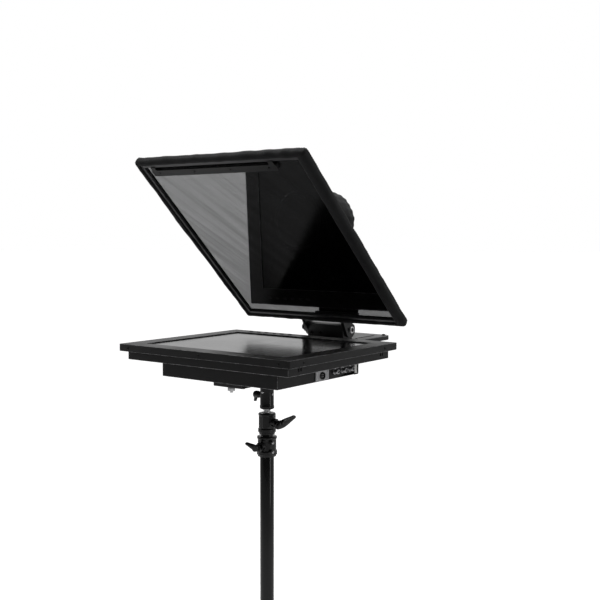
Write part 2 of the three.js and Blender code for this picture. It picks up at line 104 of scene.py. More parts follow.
def white_room():
    world = bpy.data.worlds.new("white_room")
    world.use_nodes = True
    tree = world.node_tree
    nodes, links = tree.nodes, tree.links
    background = nodes["Background"]
    background.inputs["Color"].default_value = (1.0, 1.0, 1.0, 1.0)
    place = nodes.new("ShaderNodeTexCoord")
    parts = nodes.new("ShaderNodeSeparateXYZ")
    links.new(place.outputs["Generated"], parts.inputs[0])
    side = nodes.new("ShaderNodeMapRange")
    side.inputs["From Min"].default_value, side.inputs["From Max"].default_value = -0.1, 0.7
    side.inputs["To Min"].default_value, side.inputs["To Max"].default_value = ROOM_DIM, ROOM_BRIGHT
    side.interpolation_type = "SMOOTHSTEP"
    links.new(parts.outputs["Y"], side.inputs["Value"])
    seen = nodes.new("ShaderNodeLightPath")
    strength = nodes.new("ShaderNodeMix")
    strength.data_type = "FLOAT"
    links.new(seen.outputs["Is Camera Ray"], strength.inputs["Factor"])
    links.new(side.outputs["Result"], strength.inputs["A"])
    strength.inputs["B"].default_value = 1.0
    links.new(strength.outputs["Result"], background.inputs["Strength"])
    bpy.context.scene.world = world


def soft_light(name, place, aim, size, power):
    data = bpy.data.lights.new(name, "AREA")
    data.shape = "RECTANGLE"
    data.size, data.size_y = size
    data.energy = power
    lamp = bpy.data.objects.new(name, data)
    bpy.context.scene.collection.objects.link(lamp)
    lamp.location = place
    lamp.rotation_euler = (Vector(aim) - Vector(place)).to_track_quat("-Z", "Y").to_euler()


white_room()
soft_light("overhead_softbox", (-0.6, 0.3, 3.4), (0.0, 0.0, 1.0), (3.0, 2.4), 62)
soft_light("left_softbox", (-3.2, -1.2, 2.0), (0.0, 0.0, 1.0), (0.9, 2.2), 20)
soft_light("right_strip", (3.0, 0.2, 1.5), (0.0, 0.0, 1.0), (0.25, 2.4), 9)
print("room strengths", ROOM_DIM, ROOM_BRIGHT)

# %% [markdown]
# ## Small helpers for meshes
# Every piece starts as a bmesh, gets its corners and its smooth shading there, and becomes an
# object with its place in its mesh, so that it can ride on a body without being turned again.

# %% Mesh helpers


def new_object(name, bm):
    mesh = bpy.data.meshes.new(name)
    bm.to_mesh(mesh)
    bm.free()
    piece = bpy.data.objects.new(name, mesh)
    bpy.context.scene.collection.objects.link(piece)
    return piece


def settle(piece):
    """Turns a piece's modifiers into its plain mesh."""
    bpy.context.view_layer.update()
    graph = bpy.context.evaluated_depsgraph_get()
    mesh = bpy.data.meshes.new_from_object(
        piece.evaluated_get(graph), preserve_all_data_layers=True, depsgraph=graph)
    piece.modifiers.clear()
    piece.data = mesh
    return piece


def shade(bm, crease=32):
    """Smooth shading that breaks at every edge sharper than crease degrees."""
    for face in bm.faces:
        face.smooth = True
    for edge in bm.edges:
        edge.smooth = edge.calc_face_angle(0.0) < math.radians(crease)


def bench_copy(node):
    """A CAD part's mesh with its loose triangles merged into clean flat faces."""
    bm = bmesh.new()
    bm.from_mesh(frame["nodes"][node].data)
    bmesh.ops.remove_doubles(bm, verts=bm.verts, dist=4e-6)
    bmesh.ops.dissolve_limit(bm, angle_limit=math.radians(0.6), verts=bm.verts, edges=bm.edges)
    bm.faces.layers.float.new("edge")
    return bm


def soften(bm, width, segments=1, turn=30, where=None):
    """Bevels the corners and marks the new faces, where paint wears first and where the pale corner colour
    also paints a highlight.
    """
    layer = bm.faces.layers.float.get("edge") or bm.faces.layers.float.new("edge")
    edges = [e for e in bm.edges if len(e.link_faces) == 2
             and e.calc_face_angle(0.0) > math.radians(turn) and (where is None or where(e))]
    made = bmesh.ops.bevel(bm, geom=edges, offset=width, offset_type="OFFSET", segments=segments,
                           profile=0.5, affect="EDGES", clamp_overlap=True)
    for face in made["faces"]:
        face[layer] = 1.0
    shade(bm, 32 if segments == 1 else 52)
    return bm


def longer(length):
    return lambda edge: edge.calc_length() > length


def fix(piece, body, slot_name, finish, *stands_for):
    """Gives a finished piece its material and its body. The slot name is not used."""
    finishes = finish if isinstance(finish, (list, tuple)) else [finish]
    piece.data.materials.clear()
    for material in finishes:
        piece.data.materials.append(material)
    if stands_for:
        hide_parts(*stands_for)
    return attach(piece, body)


def machined(node, name, width, slot_name, finish, **corners):
    """A CAD part again, with softened corners."""
    piece = new_object(name, soften(bench_copy(node), width, **corners))
    return fix(piece, body_of[node], slot_name, finish, node)


# %% [markdown]
# ## Turned, lofted and cast shapes
# Tubes, sockets and knobs are turned from a profile with many steps, so that gloss paint shows one
# clean streak. Castings are made as a founder's pattern is: simple solids pushed into each other,
# remeshed to one skin and melted a little, which leaves a fillet wherever two shapes meet.

# %% Turned shapes
Z_AXIS = Vector((0, 0, 1))


def rounded(points, radius, closed=False):
    """A polyline with each corner replaced by three points of a small arc."""
    out = []
    count = len(points)
    for i, point in enumerate(points):
        if not closed and i in (0, count - 1):
            out.append(point)
            continue
        here, before, after = (Vector(points[j % count]) for j in (i, i - 1, i + 1))
        one, two = before - here, after - here
        reach = min(radius, one.length * 0.45, two.length * 0.45)
        start, end = here + one.normalized() * reach, here + two.normalized() * reach
        for t in (0.0, 0.5, 1.0):
            spot = start * (1 - t) ** 2 + here * (2 * t * (1 - t)) + end * t ** 2
            out.append((spot.x, spot.y))
    return out


def turned(profile, steps=64, closed=False):
    """Turns (radius, height) points in metres about Z. Ends on the axis close by themselves."""
    bm = bmesh.new()
    rings = []
    for radius, height in profile:
        if radius < 1e-7:
            rings.append([bm.verts.new((0, 0, height))])
            continue
        rings.append([bm.verts.new((radius * math.cos(a), radius * math.sin(a), height))
                      for a in (2 * math.pi * i / steps for i in range(steps))])
    pairs = list(zip(rings, rings[1:])) + ([(rings[-1], rings[0])] if closed else [])
    for low, high in pairs:
        for i in range(steps):
            j = (i + 1) % steps
            corners = [low[i % len(low)], low[j % len(low)], high[j % len(high)], high[i % len(high)]]
            corners = [v for k, v in enumerate(corners) if v not in corners[:k]]
            if len(corners) > 2:
                bm.faces.new(corners)
    bmesh.ops.recalc_face_normals(bm, faces=bm.faces)
    shade(bm, 40)
    return bm


def skin(rings, closed=False):
    """A skin over rings of equally many points, with a fan over each end unless closed."""
    bm = bmesh.new()
    loops = [[bm.verts.new(p) for p in ring] for ring in rings]
    count = len(loops[0])
    pairs = list(zip(loops, loops[1:])) + ([(loops[-1], loops[0])] if closed else [])
    for one, two in pairs:
        for k in range(count):
            j = (k + 1) % count
            bm.faces.new((one[k], one[j], two[j], two[k]))
    if not closed:
        bm.faces.new(loops[0])
        bm.faces.new(loops[-1])
    bmesh.ops.recalc_face_normals(bm, faces=bm.faces)
    return bm


def pipe(start, end, radius, bore=0.0, edge=0.6 * MM, steps=64):
    """A round bar or tube between two points, with eased ends."""
    start, end = Vector(start), Vector(end)
    length = (end - start).length
    if bore:
        profile = rounded([(bore, 0), (radius, 0), (radius, length), (bore, length)], edge, True)
        bm = turned(profile, steps, closed=True)
    else:
        bm = turned(rounded([(0, 0), (radius, 0), (radius, length), (0, length)], edge), steps)
    turn = Z_AXIS.rotation_difference((end - start).normalized()).to_matrix().to_4x4()
    bm.transform(Matrix.Translation(start) @ turn)
    return bm


def merged(shells):
    whole = bmesh.new()
    for shell in shells:
        mesh = bpy.data.meshes.new("shell")
        shell.to_mesh(mesh)
        shell.free()
        whole.from_mesh(mesh)
        bpy.data.meshes.remove(mesh)
    return whole


# %% Castings


def mark_ridges(mesh, low=0.10, high=0.30):
    """Writes the edge attribute on a fine mesh: 1 on ridges, 0 on flats and in hollows."""
    count = len(mesh.vertices)
    spots = np.zeros(count * 3, np.float32)
    ways = np.zeros(count * 3, np.float32)
    ends = np.zeros(len(mesh.edges) * 2, np.int32)
    mesh.vertices.foreach_get("co", spots)
    mesh.vertex_normals.foreach_get("vector", ways)
    mesh.edges.foreach_get("vertices", ends)
    spots, ways, ends = spots.reshape(-1, 3), ways.reshape(-1, 3), ends.reshape(-1, 2)
    total, shares = np.zeros((count, 3)), np.zeros(count)
    for a, b in ((0, 1), (1, 0)):
        np.add.at(total, ends[:, a], spots[ends[:, b]])
        np.add.at(shares, ends[:, a], 1)
    step = np.linalg.norm(spots[ends[:, 0]] - spots[ends[:, 1]], axis=1).mean()
    bulge = ((spots - total / np.maximum(shares, 1)[:, None]) * ways).sum(1) / step
    value = np.clip((bulge - low) / (high - low), 0, 1).astype(np.float32)
    mesh.attributes.new("edge", "FLOAT", "POINT").data.foreach_set("value", value)


def cast(name, shells, grain=0.8 * MM, melt=4):
    """One skin over overlapping solids, melted a little."""
    piece = new_object(name, merged(shells))
    remesh = piece.modifiers.new("one_skin", "REMESH")
    remesh.mode = "VOXEL"
    remesh.voxel_size = grain
    remesh.use_smooth_shade = True
    ease = piece.modifiers.new("melt", "SMOOTH")
    ease.factor, ease.iterations = 0.5, melt
    settle(piece)
    mark_ridges(piece.data)
    return piece


# %% [markdown]
# ## Shader groups that several finishes share
# Powder coat, castings and anodised bars differ in colour and gloss, but share the same kinds of
# flaw: a fine grain, wear along the corners and a little dust on top. On the housing the pale
# corner colour is also a painted highlight of the light line its chamfers catch. Each flaw is one
# node group with named sockets, so that a finish only states how much of it there is.

# %% Shader groups


def new_group(name, inputs, outputs):
    tree = bpy.data.node_groups.new(name, "ShaderNodeTree")
    for label, kind, value in inputs:
        socket = tree.interface.new_socket(label, in_out="INPUT", socket_type="NodeSocket" + kind)
        if value is not None:
            socket.default_value = value
    for label, kind in outputs:
        tree.interface.new_socket(label, in_out="OUTPUT", socket_type="NodeSocket" + kind)
    return tree, tree.nodes.new("NodeGroupInput"), tree.nodes.new("NodeGroupOutput")


def math_node(tree, operation, *values):
    node = tree.nodes.new("ShaderNodeMath")
    node.operation = operation
    for socket, value in zip(node.inputs, values):
        if isinstance(value, (int, float)):
            socket.default_value = value
        else:
            tree.links.new(value, socket)
    return node.outputs[0]


def noise_node(tree, place, scale, detail=3.0, rough=0.55):
    node = tree.nodes.new("ShaderNodeTexNoise")
    node.inputs["Detail"].default_value = detail
    node.inputs["Roughness"].default_value = rough
    tree.links.new(place, node.inputs["Vector"])
    if isinstance(scale, (int, float)):
        node.inputs["Scale"].default_value = scale
    else:
        tree.links.new(scale, node.inputs["Scale"])
    return node.outputs["Fac"]


def ramp_node(tree, value, low, high, to_low=0.0, to_high=1.0):
    node = tree.nodes.new("ShaderNodeMapRange")
    node.interpolation_type = "SMOOTHSTEP"
    for label, amount in (("From Min", low), ("From Max", high), ("To Min", to_low), ("To Max", to_high)):
        node.inputs[label].default_value = amount
    tree.links.new(value, node.inputs["Value"])
    return node.outputs["Result"]


def make_grain_group():
    tree, inside, out = new_group(
        "coat_grain", [("Vector", "Vector", None), ("Scale", "Float", 900.0)],
        [("Height", "Float"), ("Mottle", "Float")])
    fine = noise_node(tree, inside.outputs["Vector"], inside.outputs["Scale"], 2.0)
    cells = tree.nodes.new("ShaderNodeTexVoronoi")
    tree.links.new(inside.outputs["Vector"], cells.inputs["Vector"])
    tree.links.new(math_node(tree, "MULTIPLY", inside.outputs["Scale"], 0.7), cells.inputs["Scale"])
    height = math_node(tree, "MULTIPLY_ADD", cells.outputs["Distance"], -0.6, fine)
    tree.links.new(height, out.inputs["Height"])
    broad = noise_node(tree, inside.outputs["Vector"], 14.0, 5.0, 0.6)
    tree.links.new(broad, out.inputs["Mottle"])
    return tree


def make_wear_and_highlight_group():
    tree, inside, out = new_group(
        "edge_wear_and_highlight", [("Vector", "Vector", None), ("Edge", "Float", 0.0), ("Amount", "Float", 0.5)],
        [("Mask", "Float")])
    # The mask is edge wear; at a high amount, as on the housing, its pale colour is also a painted highlight
    # along the chamfers.
    patches = ramp_node(tree, noise_node(tree, inside.outputs["Vector"], 70.0, 4.0, 0.65), 0.38, 0.62)
    fine = ramp_node(tree, noise_node(tree, inside.outputs["Vector"], 420.0, 3.0), 0.40, 0.60)
    broken = math_node(tree, "MULTIPLY_ADD", fine, 0.4, math_node(tree, "MULTIPLY", patches, 0.6))
    worn = math_node(tree, "MULTIPLY", broken, inside.outputs["Edge"])
    tree.links.new(math_node(tree, "MULTIPLY", worn, inside.outputs["Amount"]), out.inputs["Mask"])
    return tree


def make_dust_group():
    tree, inside, out = new_group(
        "dust", [("Vector", "Vector", None), ("Amount", "Float", 0.1)], [("Mask", "Float")])
    shape = tree.nodes.new("ShaderNodeNewGeometry")
    parts = tree.nodes.new("ShaderNodeSeparateXYZ")
    tree.links.new(shape.outputs["Normal"], parts.inputs[0])
    facing_up = ramp_node(tree, parts.outputs["Z"], 0.5, 1.0)
    specks = ramp_node(tree, noise_node(tree, inside.outputs["Vector"], 260.0, 6.0, 0.75), 0.48, 0.72)
    film = ramp_node(tree, noise_node(tree, inside.outputs["Vector"], 9.0, 4.0, 0.6), 0.35, 0.75)
    layer = math_node(tree, "MULTIPLY_ADD", specks, 0.5, math_node(tree, "MULTIPLY", film, 0.5))
    settled = math_node(tree, "MULTIPLY", layer, facing_up)
    tree.links.new(math_node(tree, "MULTIPLY", settled, inside.outputs["Amount"]), out.inputs["Mask"])
    return tree


def make_weave_group():
    """A plain weave: over-and-under threads counted per metre of the cloth's own UV map."""
    tree, inside, out = new_group(
        "weave", [("UV", "Vector", None), ("Threads", "Float", 900.0)],
        [("Height", "Float"), ("Thread", "Float")])
    parts = tree.nodes.new("ShaderNodeSeparateXYZ")
    tree.links.new(inside.outputs["UV"], parts.inputs[0])
    runs = []
    for axis in ("X", "Y"):
        turn = math_node(tree, "MULTIPLY", parts.outputs[axis],
                         math_node(tree, "MULTIPLY", inside.outputs["Threads"], math.pi))
        runs.append(math_node(tree, "SINE", turn))
    over = math_node(tree, "MULTIPLY", runs[0], runs[1])
    warp = math_node(tree, "ABSOLUTE", runs[0])
    weft = math_node(tree, "ABSOLUTE", runs[1])
    pick = math_node(tree, "GREATER_THAN", over, 0.0)
    mix = tree.nodes.new("ShaderNodeMix")
    mix.data_type = "FLOAT"
    tree.links.new(pick, mix.inputs["Factor"])
    tree.links.new(warp, mix.inputs["A"])
    tree.links.new(weft, mix.inputs["B"])
    tree.links.new(mix.outputs["Result"], out.inputs["Height"])
    tree.links.new(pick, out.inputs["Thread"])
    return tree


GRAIN, WEAR_AND_HIGHLIGHT, DUST, WEAVE = (make_grain_group(), make_wear_and_highlight_group(), make_dust_group(),
                            make_weave_group())
print("shader groups:", [g.name for g in (GRAIN, WEAR_AND_HIGHLIGHT, DUST, WEAVE)])

# %% [markdown]
# ## Finishes
# Powder coat is a dark grey with a fine orange-peel skin; its corners catch light and are painted a
# paler grey, partly for wear and partly as a painted highlight of that light. Plain numbers such as
# a coat's weight are set on the Principled shader itself, and only what varies over the surface
# goes through nodes, so that an export keeps both.

# %% Finish helper


def group_node(tree, group, place, **values):
    node = tree.nodes.new("ShaderNodeGroup")
    node.node_tree = group
    tree.links.new(place, node.inputs[0])
    for label, value in values.items():
        socket = node.inputs[label]
        if isinstance(value, (int, float)):
            socket.default_value = value
        else:
            tree.links.new(value, socket)
    return node


def blend_colour(tree, mask, under, over):
    mix = tree.nodes.new("ShaderNodeMix")
    mix.data_type = "RGBA"
    tree.links.new(mask, mix.inputs["Factor"])
    for socket, value in ((mix.inputs[6], under), (mix.inputs[7], over)):
        if isinstance(value, tuple):
            socket.default_value = (*value, 1.0)
        else:
            tree.links.new(value, socket)
    return mix.outputs[2]


def start_finish(name, roughness, metallic=0.0, **plain):
    material = bpy.data.materials.new(name)
    material.use_nodes = True
    tree = material.node_tree
    shader = tree.nodes["Principled BSDF"]
    shader.inputs["Roughness"].default_value = roughness
    shader.inputs["Metallic"].default_value = metallic
    for label, value in plain.items():
        shader.inputs[label.replace("_", " ")].default_value = value
    place = tree.nodes.new("ShaderNodeTexCoord")
    return material, tree, shader, place


def bump(tree, shader, height, distance, strength=1.0):
    node = tree.nodes.new("ShaderNodeBump")
    node.inputs["Distance"].default_value = distance
    node.inputs["Strength"].default_value = strength
    tree.links.new(height, node.inputs["Height"])
    tree.links.new(node.outputs["Normal"], shader.inputs["Normal"])


def coated(name, colour, pale, roughness, grain, depth, wear, dust, metallic=0.0, **plain):
    """Paint or anodising: grain, a mottled gloss, pale corners that stand for wear and a painted highlight,
    and a little dust.
    """
    material, tree, shader, place = start_finish(name, roughness, metallic, **plain)
    where = place.outputs["Object"]
    edge = tree.nodes.new("ShaderNodeAttribute")
    edge.attribute_name = "edge"
    skin_grain = group_node(tree, GRAIN, where, Scale=grain)
    worn = group_node(tree, WEAR_AND_HIGHLIGHT, where, Edge=edge.outputs["Fac"], Amount=wear)
    dusty = group_node(tree, DUST, where, Amount=dust)
    tone = blend_colour(tree, skin_grain.outputs["Mottle"], tuple(c * 0.8 for c in colour),
                        tuple(c * 1.25 for c in colour))
    # Pale corners: edge wear, and where the amount is high, as on the housing, also a painted highlight.
    tone = blend_colour(tree, worn.outputs["Mask"], tone, pale)
    tone = blend_colour(tree, dusty.outputs["Mask"], tone, (0.30, 0.29, 0.28))
    tree.links.new(tone, shader.inputs["Base Color"])
    gloss = ramp_node(tree, skin_grain.outputs["Mottle"], 0.3, 0.7, roughness - 0.05, roughness + 0.06)
    gloss = math_node(tree, "MULTIPLY_ADD", dusty.outputs["Mask"], 0.5, gloss)
    tree.links.new(gloss, shader.inputs["Roughness"])
    bump(tree, shader, skin_grain.outputs["Height"], depth, 0.6)
    return material


def bright_metal(name, colour, roughness, lines, axis_scale):
    """Bare or plated metal with fine drawn lines along one axis."""
    material, tree, shader, place = start_finish(name, roughness, 1.0)
    stretch = tree.nodes.new("ShaderNodeMapping")
    stretch.inputs["Scale"].default_value = axis_scale
    tree.links.new(place.outputs["Object"], stretch.inputs["Vector"])
    drawn = noise_node(tree, stretch.outputs["Vector"], lines, 4.0, 0.7)
    dull, bright = tuple(c * 0.82 for c in colour), tuple(min(1.0, c * 1.08) for c in colour)
    tint = blend_colour(tree, drawn, dull, bright)
    tree.links.new(tint, shader.inputs["Base Color"])
    tree.links.new(ramp_node(tree, drawn, 0.3, 0.7, roughness - 0.08, roughness + 0.1),
                   shader.inputs["Roughness"])
    bump(tree, shader, drawn, 0.00004, 0.5)
    return material


# %% Finishes of metal, plastic and rubber
# The housing's strong pale corner colour is partly edge wear and partly a painted highlight of the light line
# along its chamfers.
housing = coated("satin_powder_coat", (0.0070, 0.0070, 0.0074), (0.36, 0.36, 0.37), 0.42, 1500.0,
                 0.00006, 0.95, 0.04, Specular_IOR_Level=0.28)
anodised = coated("black_anodised_rail", (0.040, 0.040, 0.042), (0.26, 0.26, 0.27), 0.34, 2600.0,
                  0.00002, 0.6, 0.04, metallic=0.45, Specular_IOR_Level=0.6)
dark_bar = coated("dark_clamp_bar", (0.006, 0.006, 0.0063), (0.16, 0.16, 0.165), 0.42, 2600.0,
                  0.00002, 0.6, 0.04, Specular_IOR_Level=0.25)
casting = coated("satin_black_casting", (0.006, 0.006, 0.0063), (0.09, 0.09, 0.095), 0.30, 1100.0,
                 0.00010, 0.55, 0.04, Specular_IOR_Level=0.36, Coat_Weight=0.1)
gloss_tube = coated("gloss_black_tube", (0.004, 0.004, 0.0042), (0.08, 0.08, 0.08), 0.14, 700.0,
                    0.000015, 0.2, 0.02, Specular_IOR_Level=0.3, Coat_Weight=0.2,
                    Coat_Roughness=0.05)
grey_plate = coated("grey_anodised_plate", (0.020, 0.020, 0.021), (0.34, 0.34, 0.36), 0.40, 2200.0,
                    0.00003, 0.7, 0.04, metallic=0.3, Specular_IOR_Level=0.3)
plastic = coated("moulded_black_plastic", (0.012, 0.012, 0.0125), (0.06, 0.06, 0.06), 0.42, 1800.0,
                 0.00003, 0.3, 0.04)
rubber = coated("matt_rubber", (0.010, 0.010, 0.0102), (0.03, 0.03, 0.03), 0.78, 900.0,
                0.00012, 0.3, 0.25, Specular_IOR_Level=0.3)
nickel = bright_metal("nickel_plate", (0.46, 0.46, 0.47), 0.32, 900.0, (1, 1, 0.04))
steel = bright_metal("bright_steel", (0.72, 0.72, 0.73), 0.24, 1200.0, (1, 1, 1))
black_screw = coated("blackened_screw", (0.006, 0.006, 0.006), (0.1, 0.1, 0.1), 0.34, 2400.0,
                     0.00002, 0.4, 0.0, metallic=0.5)
white_plastic = coated("pale_rocker_plastic", (0.62, 0.62, 0.60), (0.75, 0.75, 0.74), 0.26, 1500.0,
                       0.00001, 0.3, 0.05, Coat_Weight=0.3)
print("coated and bright finishes made")

# %% [markdown]
# The panel glass is a deep gloss black: nearly all that is seen of it is its reflection, blurred a
# little by an anti-glare etch. The beam splitter is clear glass with a half-silvered face, so it
# is part mirror, part window. One Principled shader holds both: some Metallic for the silvering,
# and full Transmission for the rest. Wiping leaves faint slanting streaks in its tint, and the tint
# is painted paler towards the top as a painted reflection.

# %% Finishes of glass


def make_screen():
    material, tree, shader, place = start_finish("panel_glass", 0.14, Specular_IOR_Level=0.17,
                                                 IOR=1.5)
    where = place.outputs["Object"]
    haze = noise_node(tree, where, 6.0, 4.0, 0.6)
    tree.links.new(ramp_node(tree, haze, 0.3, 0.7, 0.12, 0.17), shader.inputs["Roughness"])
    tree.links.new(blend_colour(tree, haze, (0.0022, 0.0022, 0.0025), (0.0038, 0.0038, 0.0042)),
                   shader.inputs["Base Color"])
    bump(tree, shader, noise_node(tree, where, 4000.0, 1.0), 0.000004, 0.4)
    return material


ACROSS_STREAKS = (0.866, -0.365, 0.342)  # the way over the pane that crosses the wiping streaks
ALONG_STREAKS = (0.5, 0.632, -0.592)


def make_beamsplitter():
    material, tree, shader, place = start_finish(
        "half_silvered_glass", 0.015, 0.45, Transmission_Weight=1.0, IOR=1.5)
    where = place.outputs["Object"]
    wiped = tree.nodes.new("ShaderNodeCombineXYZ")
    for label, way, scale in (("X", ACROSS_STREAKS, 52.0), ("Y", ALONG_STREAKS, 3.0)):
        dot = tree.nodes.new("ShaderNodeVectorMath")
        dot.operation = "DOT_PRODUCT"
        tree.links.new(where, dot.inputs[0])
        dot.inputs[1].default_value = way
        tree.links.new(math_node(tree, "MULTIPLY", dot.outputs["Value"], scale), wiped.inputs[label])
    streaks = noise_node(tree, wiped.outputs["Vector"], 1.0, 4.0, 0.6)
    parts = tree.nodes.new("ShaderNodeSeparateXYZ")
    tree.links.new(where, parts.inputs[0])
    # Painted reflection: the tint, and so the mirror strength, grows paler towards the top of the pane,
    # painting the bright gradient the glass reflects.
    painted_reflection_rise = ramp_node(tree, parts.outputs["Z"], 1.0, 1.36)
    both = math_node(tree, "MULTIPLY_ADD", painted_reflection_rise, 0.30, math_node(tree, "MULTIPLY", streaks, 0.7))
    mask = ramp_node(tree, both, 0.32, 0.72)
    tree.links.new(blend_colour(tree, mask, (0.24, 0.243, 0.246), (0.45, 0.454, 0.458)),
                   shader.inputs["Base Color"])
    tree.links.new(ramp_node(tree, both, 0.3, 0.7, 0.008, 0.03), shader.inputs["Roughness"])
    return material


screen_glass, splitter_glass = make_screen(), make_beamsplitter()


# %% [markdown]
# Hood cloth is a close-woven black nylon with a soft sheen. The weave follows the cloth's own UV
# map, which is in metres, so the threads keep one size on the flat panels and round the folds.

# %% Finishes of cloth and thread


def make_cloth(name, colour, threads, roughness):
    material, tree, shader, place = start_finish(
        name, roughness, Specular_IOR_Level=0.16, Sheen_Weight=0.09, Sheen_Roughness=0.45)
    shader.inputs["Sheen Tint"].default_value = (0.6, 0.6, 0.62, 1.0)
    cloth_map = tree.nodes.new("ShaderNodeUVMap")
    cloth_map.uv_map = "cloth"
    threads_node = group_node(tree, WEAVE, cloth_map.outputs["UV"], Threads=threads)
    dusty = group_node(tree, DUST, place.outputs["Object"], Amount=0.10)
    worn = noise_node(tree, place.outputs["Object"], 22.0, 5.0, 0.65)
    tone = blend_colour(tree, worn, tuple(c * 0.7 for c in colour), tuple(c * 1.35 for c in colour))
    tone = blend_colour(tree, math_node(tree, "MULTIPLY", threads_node.outputs["Thread"], 0.35),
                        tone, tuple(c * 1.9 for c in colour))
    tone = blend_colour(tree, dusty.outputs["Mask"], tone, (0.22, 0.22, 0.22))
    tree.links.new(tone, shader.inputs["Base Color"])
    crumple = noise_node(tree, place.outputs["Object"], 55.0, 3.0, 0.5)
    height = math_node(tree, "MULTIPLY_ADD", crumple, 3.0, threads_node.outputs["Height"])
    bump(tree, shader, height, 0.00022, 0.55)
    return material


hood_cloth = make_cloth("black_nylon_cloth", (0.0072, 0.0072, 0.0075), 850.0, 0.72)
thread = coated("black_thread", (0.020, 0.020, 0.021), (0.05, 0.05, 0.05), 0.6, 3000.0, 0.00003, 0.2, 0.0)


def make_board():
    material, tree, shader, place = start_finish("green_circuit_board", 0.4, Coat_Weight=0.3)
    where = place.outputs["Object"]
    tracks = tree.nodes.new("ShaderNodeTexBrick")
    tracks.inputs["Scale"].default_value = 160.0
    tracks.inputs["Mortar Size"].default_value = 0.03
    tree.links.new(where, tracks.inputs["Vector"])
    tree.links.new(blend_colour(tree, tracks.outputs["Fac"], (0.012, 0.075, 0.03), (0.02, 0.14, 0.05)),
                   shader.inputs["Base Color"])
    bump(tree, shader, tracks.outputs["Fac"], 0.00004, 0.5)
    return material


circuit_board = make_board()
print("finishes in all:", len(bpy.data.materials))

# %% [markdown]
# ## Geometry Nodes for what repeats
# Screws, stitches, ribs and vent slots repeat, so each is one node tree with named inputs that
# puts a small shape on every point. The result is realised and turned into a plain mesh at once.

# %% Node tree helpers


def new_tree(name, inputs):
    tree = bpy.data.node_groups.new(name, "GeometryNodeTree")
    tree.interface.new_socket("Geometry", in_out="INPUT", socket_type="NodeSocketGeometry")
    for label, kind, value in inputs:
        socket = tree.interface.new_socket(label, in_out="INPUT", socket_type="NodeSocket" + kind)
        if value is not None:
            socket.default_value = value
    tree.interface.new_socket("Geometry", in_out="OUTPUT", socket_type="NodeSocketGeometry")
    return tree, tree.nodes.new("NodeGroupInput"), tree.nodes.new("NodeGroupOutput")


def add_node(tree, kind, links=(), mode=None, **values):
    node = tree.nodes.new(kind)
    if mode:
        node.mode = mode
    for label, value in values.items():
        node.inputs[label.replace("_", " ")].default_value = value
    for label, source in links:
        tree.links.new(source, node.inputs[label])
    return node


def grown(name, base, tree, **values):
    """Runs a node tree on a base mesh and keeps the result as a plain mesh."""
    piece = new_object(name, base)
    modifier = piece.modifiers.new("grow", "NODES")
    modifier.node_group = tree
    for item in tree.interface.items_tree:
        if item.item_type == "SOCKET" and item.in_out == "INPUT" and item.name in values:
            modifier[item.identifier] = values[item.name]
    return settle(piece)


def on_points(tree, inside, out, points, shape, rotation=None, scale=None):
    """The tail that every tree here shares: instance, realise, set the material."""
    spread = add_node(tree, "GeometryNodeInstanceOnPoints",
                      [("Points", points), ("Instance", shape)])
    if rotation is not None:
        tree.links.new(rotation, spread.inputs["Rotation"])
    if scale is not None:
        spread.inputs["Scale"].default_value = scale
    real = add_node(tree, "GeometryNodeRealizeInstances", [("Geometry", spread.outputs["Instances"])])
    paint = add_node(tree, "GeometryNodeSetMaterial",
                     [("Geometry", real.outputs["Geometry"]), ("Material", inside.outputs["Material"])])
    tree.links.new(paint.outputs["Geometry"], out.inputs["Geometry"])


# %% Screw tree


def make_screw_tree():
    """A domed head with a hexagon recess on each point, along the point's own direction."""
    tree, inside, out = new_tree("screw_heads", [
        ("Head Radius", "Float", 0.003), ("Head Height", "Float", 0.0016), ("Material", "Material", None)])
    radius, height = inside.outputs["Head Radius"], inside.outputs["Head Height"]
    crown = math_node(tree, "MULTIPLY", radius, 0.82)
    head = add_node(tree, "GeometryNodeMeshCone", [
        ("Radius Bottom", radius), ("Radius Top", crown), ("Depth", height)], Vertices=20)
    recess = add_node(tree, "GeometryNodeMeshCylinder", [
        ("Radius", math_node(tree, "MULTIPLY", radius, 0.5)), ("Depth", height)], Vertices=6)
    lift = add_node(tree, "ShaderNodeCombineXYZ", [("Z", math_node(tree, "MULTIPLY", height, 0.9))])
    raised = add_node(tree, "GeometryNodeTransform", [
        ("Geometry", recess.outputs["Mesh"]), ("Translation", lift.outputs["Vector"])])
    hollow = add_node(tree, "GeometryNodeMeshBoolean", [
        ("Mesh 1", head.outputs["Mesh"]), ("Mesh 2", raised.outputs["Geometry"])])
    hollow.operation = "DIFFERENCE"
    way = tree.nodes.new("GeometryNodeInputNamedAttribute")
    way.data_type = "FLOAT_VECTOR"
    way.inputs["Name"].default_value = "way"
    turn = tree.nodes.new("FunctionNodeAlignRotationToVector")
    turn.axis = "Z"
    tree.links.new(way.outputs["Attribute"], turn.inputs["Vector"])
    on_points(tree, inside, out, inside.outputs["Geometry"], hollow.outputs["Mesh"],
              turn.outputs["Rotation"])
    return tree


SCREWS = make_screw_tree()


def screws(name, body, slot_name, finish, radius, height, spots):
    """spots are (place, direction) pairs in metres."""
    bm = bmesh.new()
    way = bm.verts.layers.float_vector.new("way")
    for place, direction in spots:
        bm.verts.new(place)[way] = Vector(direction)
    values = {"Head Radius": radius, "Head Height": height, "Material": finish}
    return fix(grown(name, bm, SCREWS, **values), body, slot_name, finish)


# %% Stitch, rib and slot trees


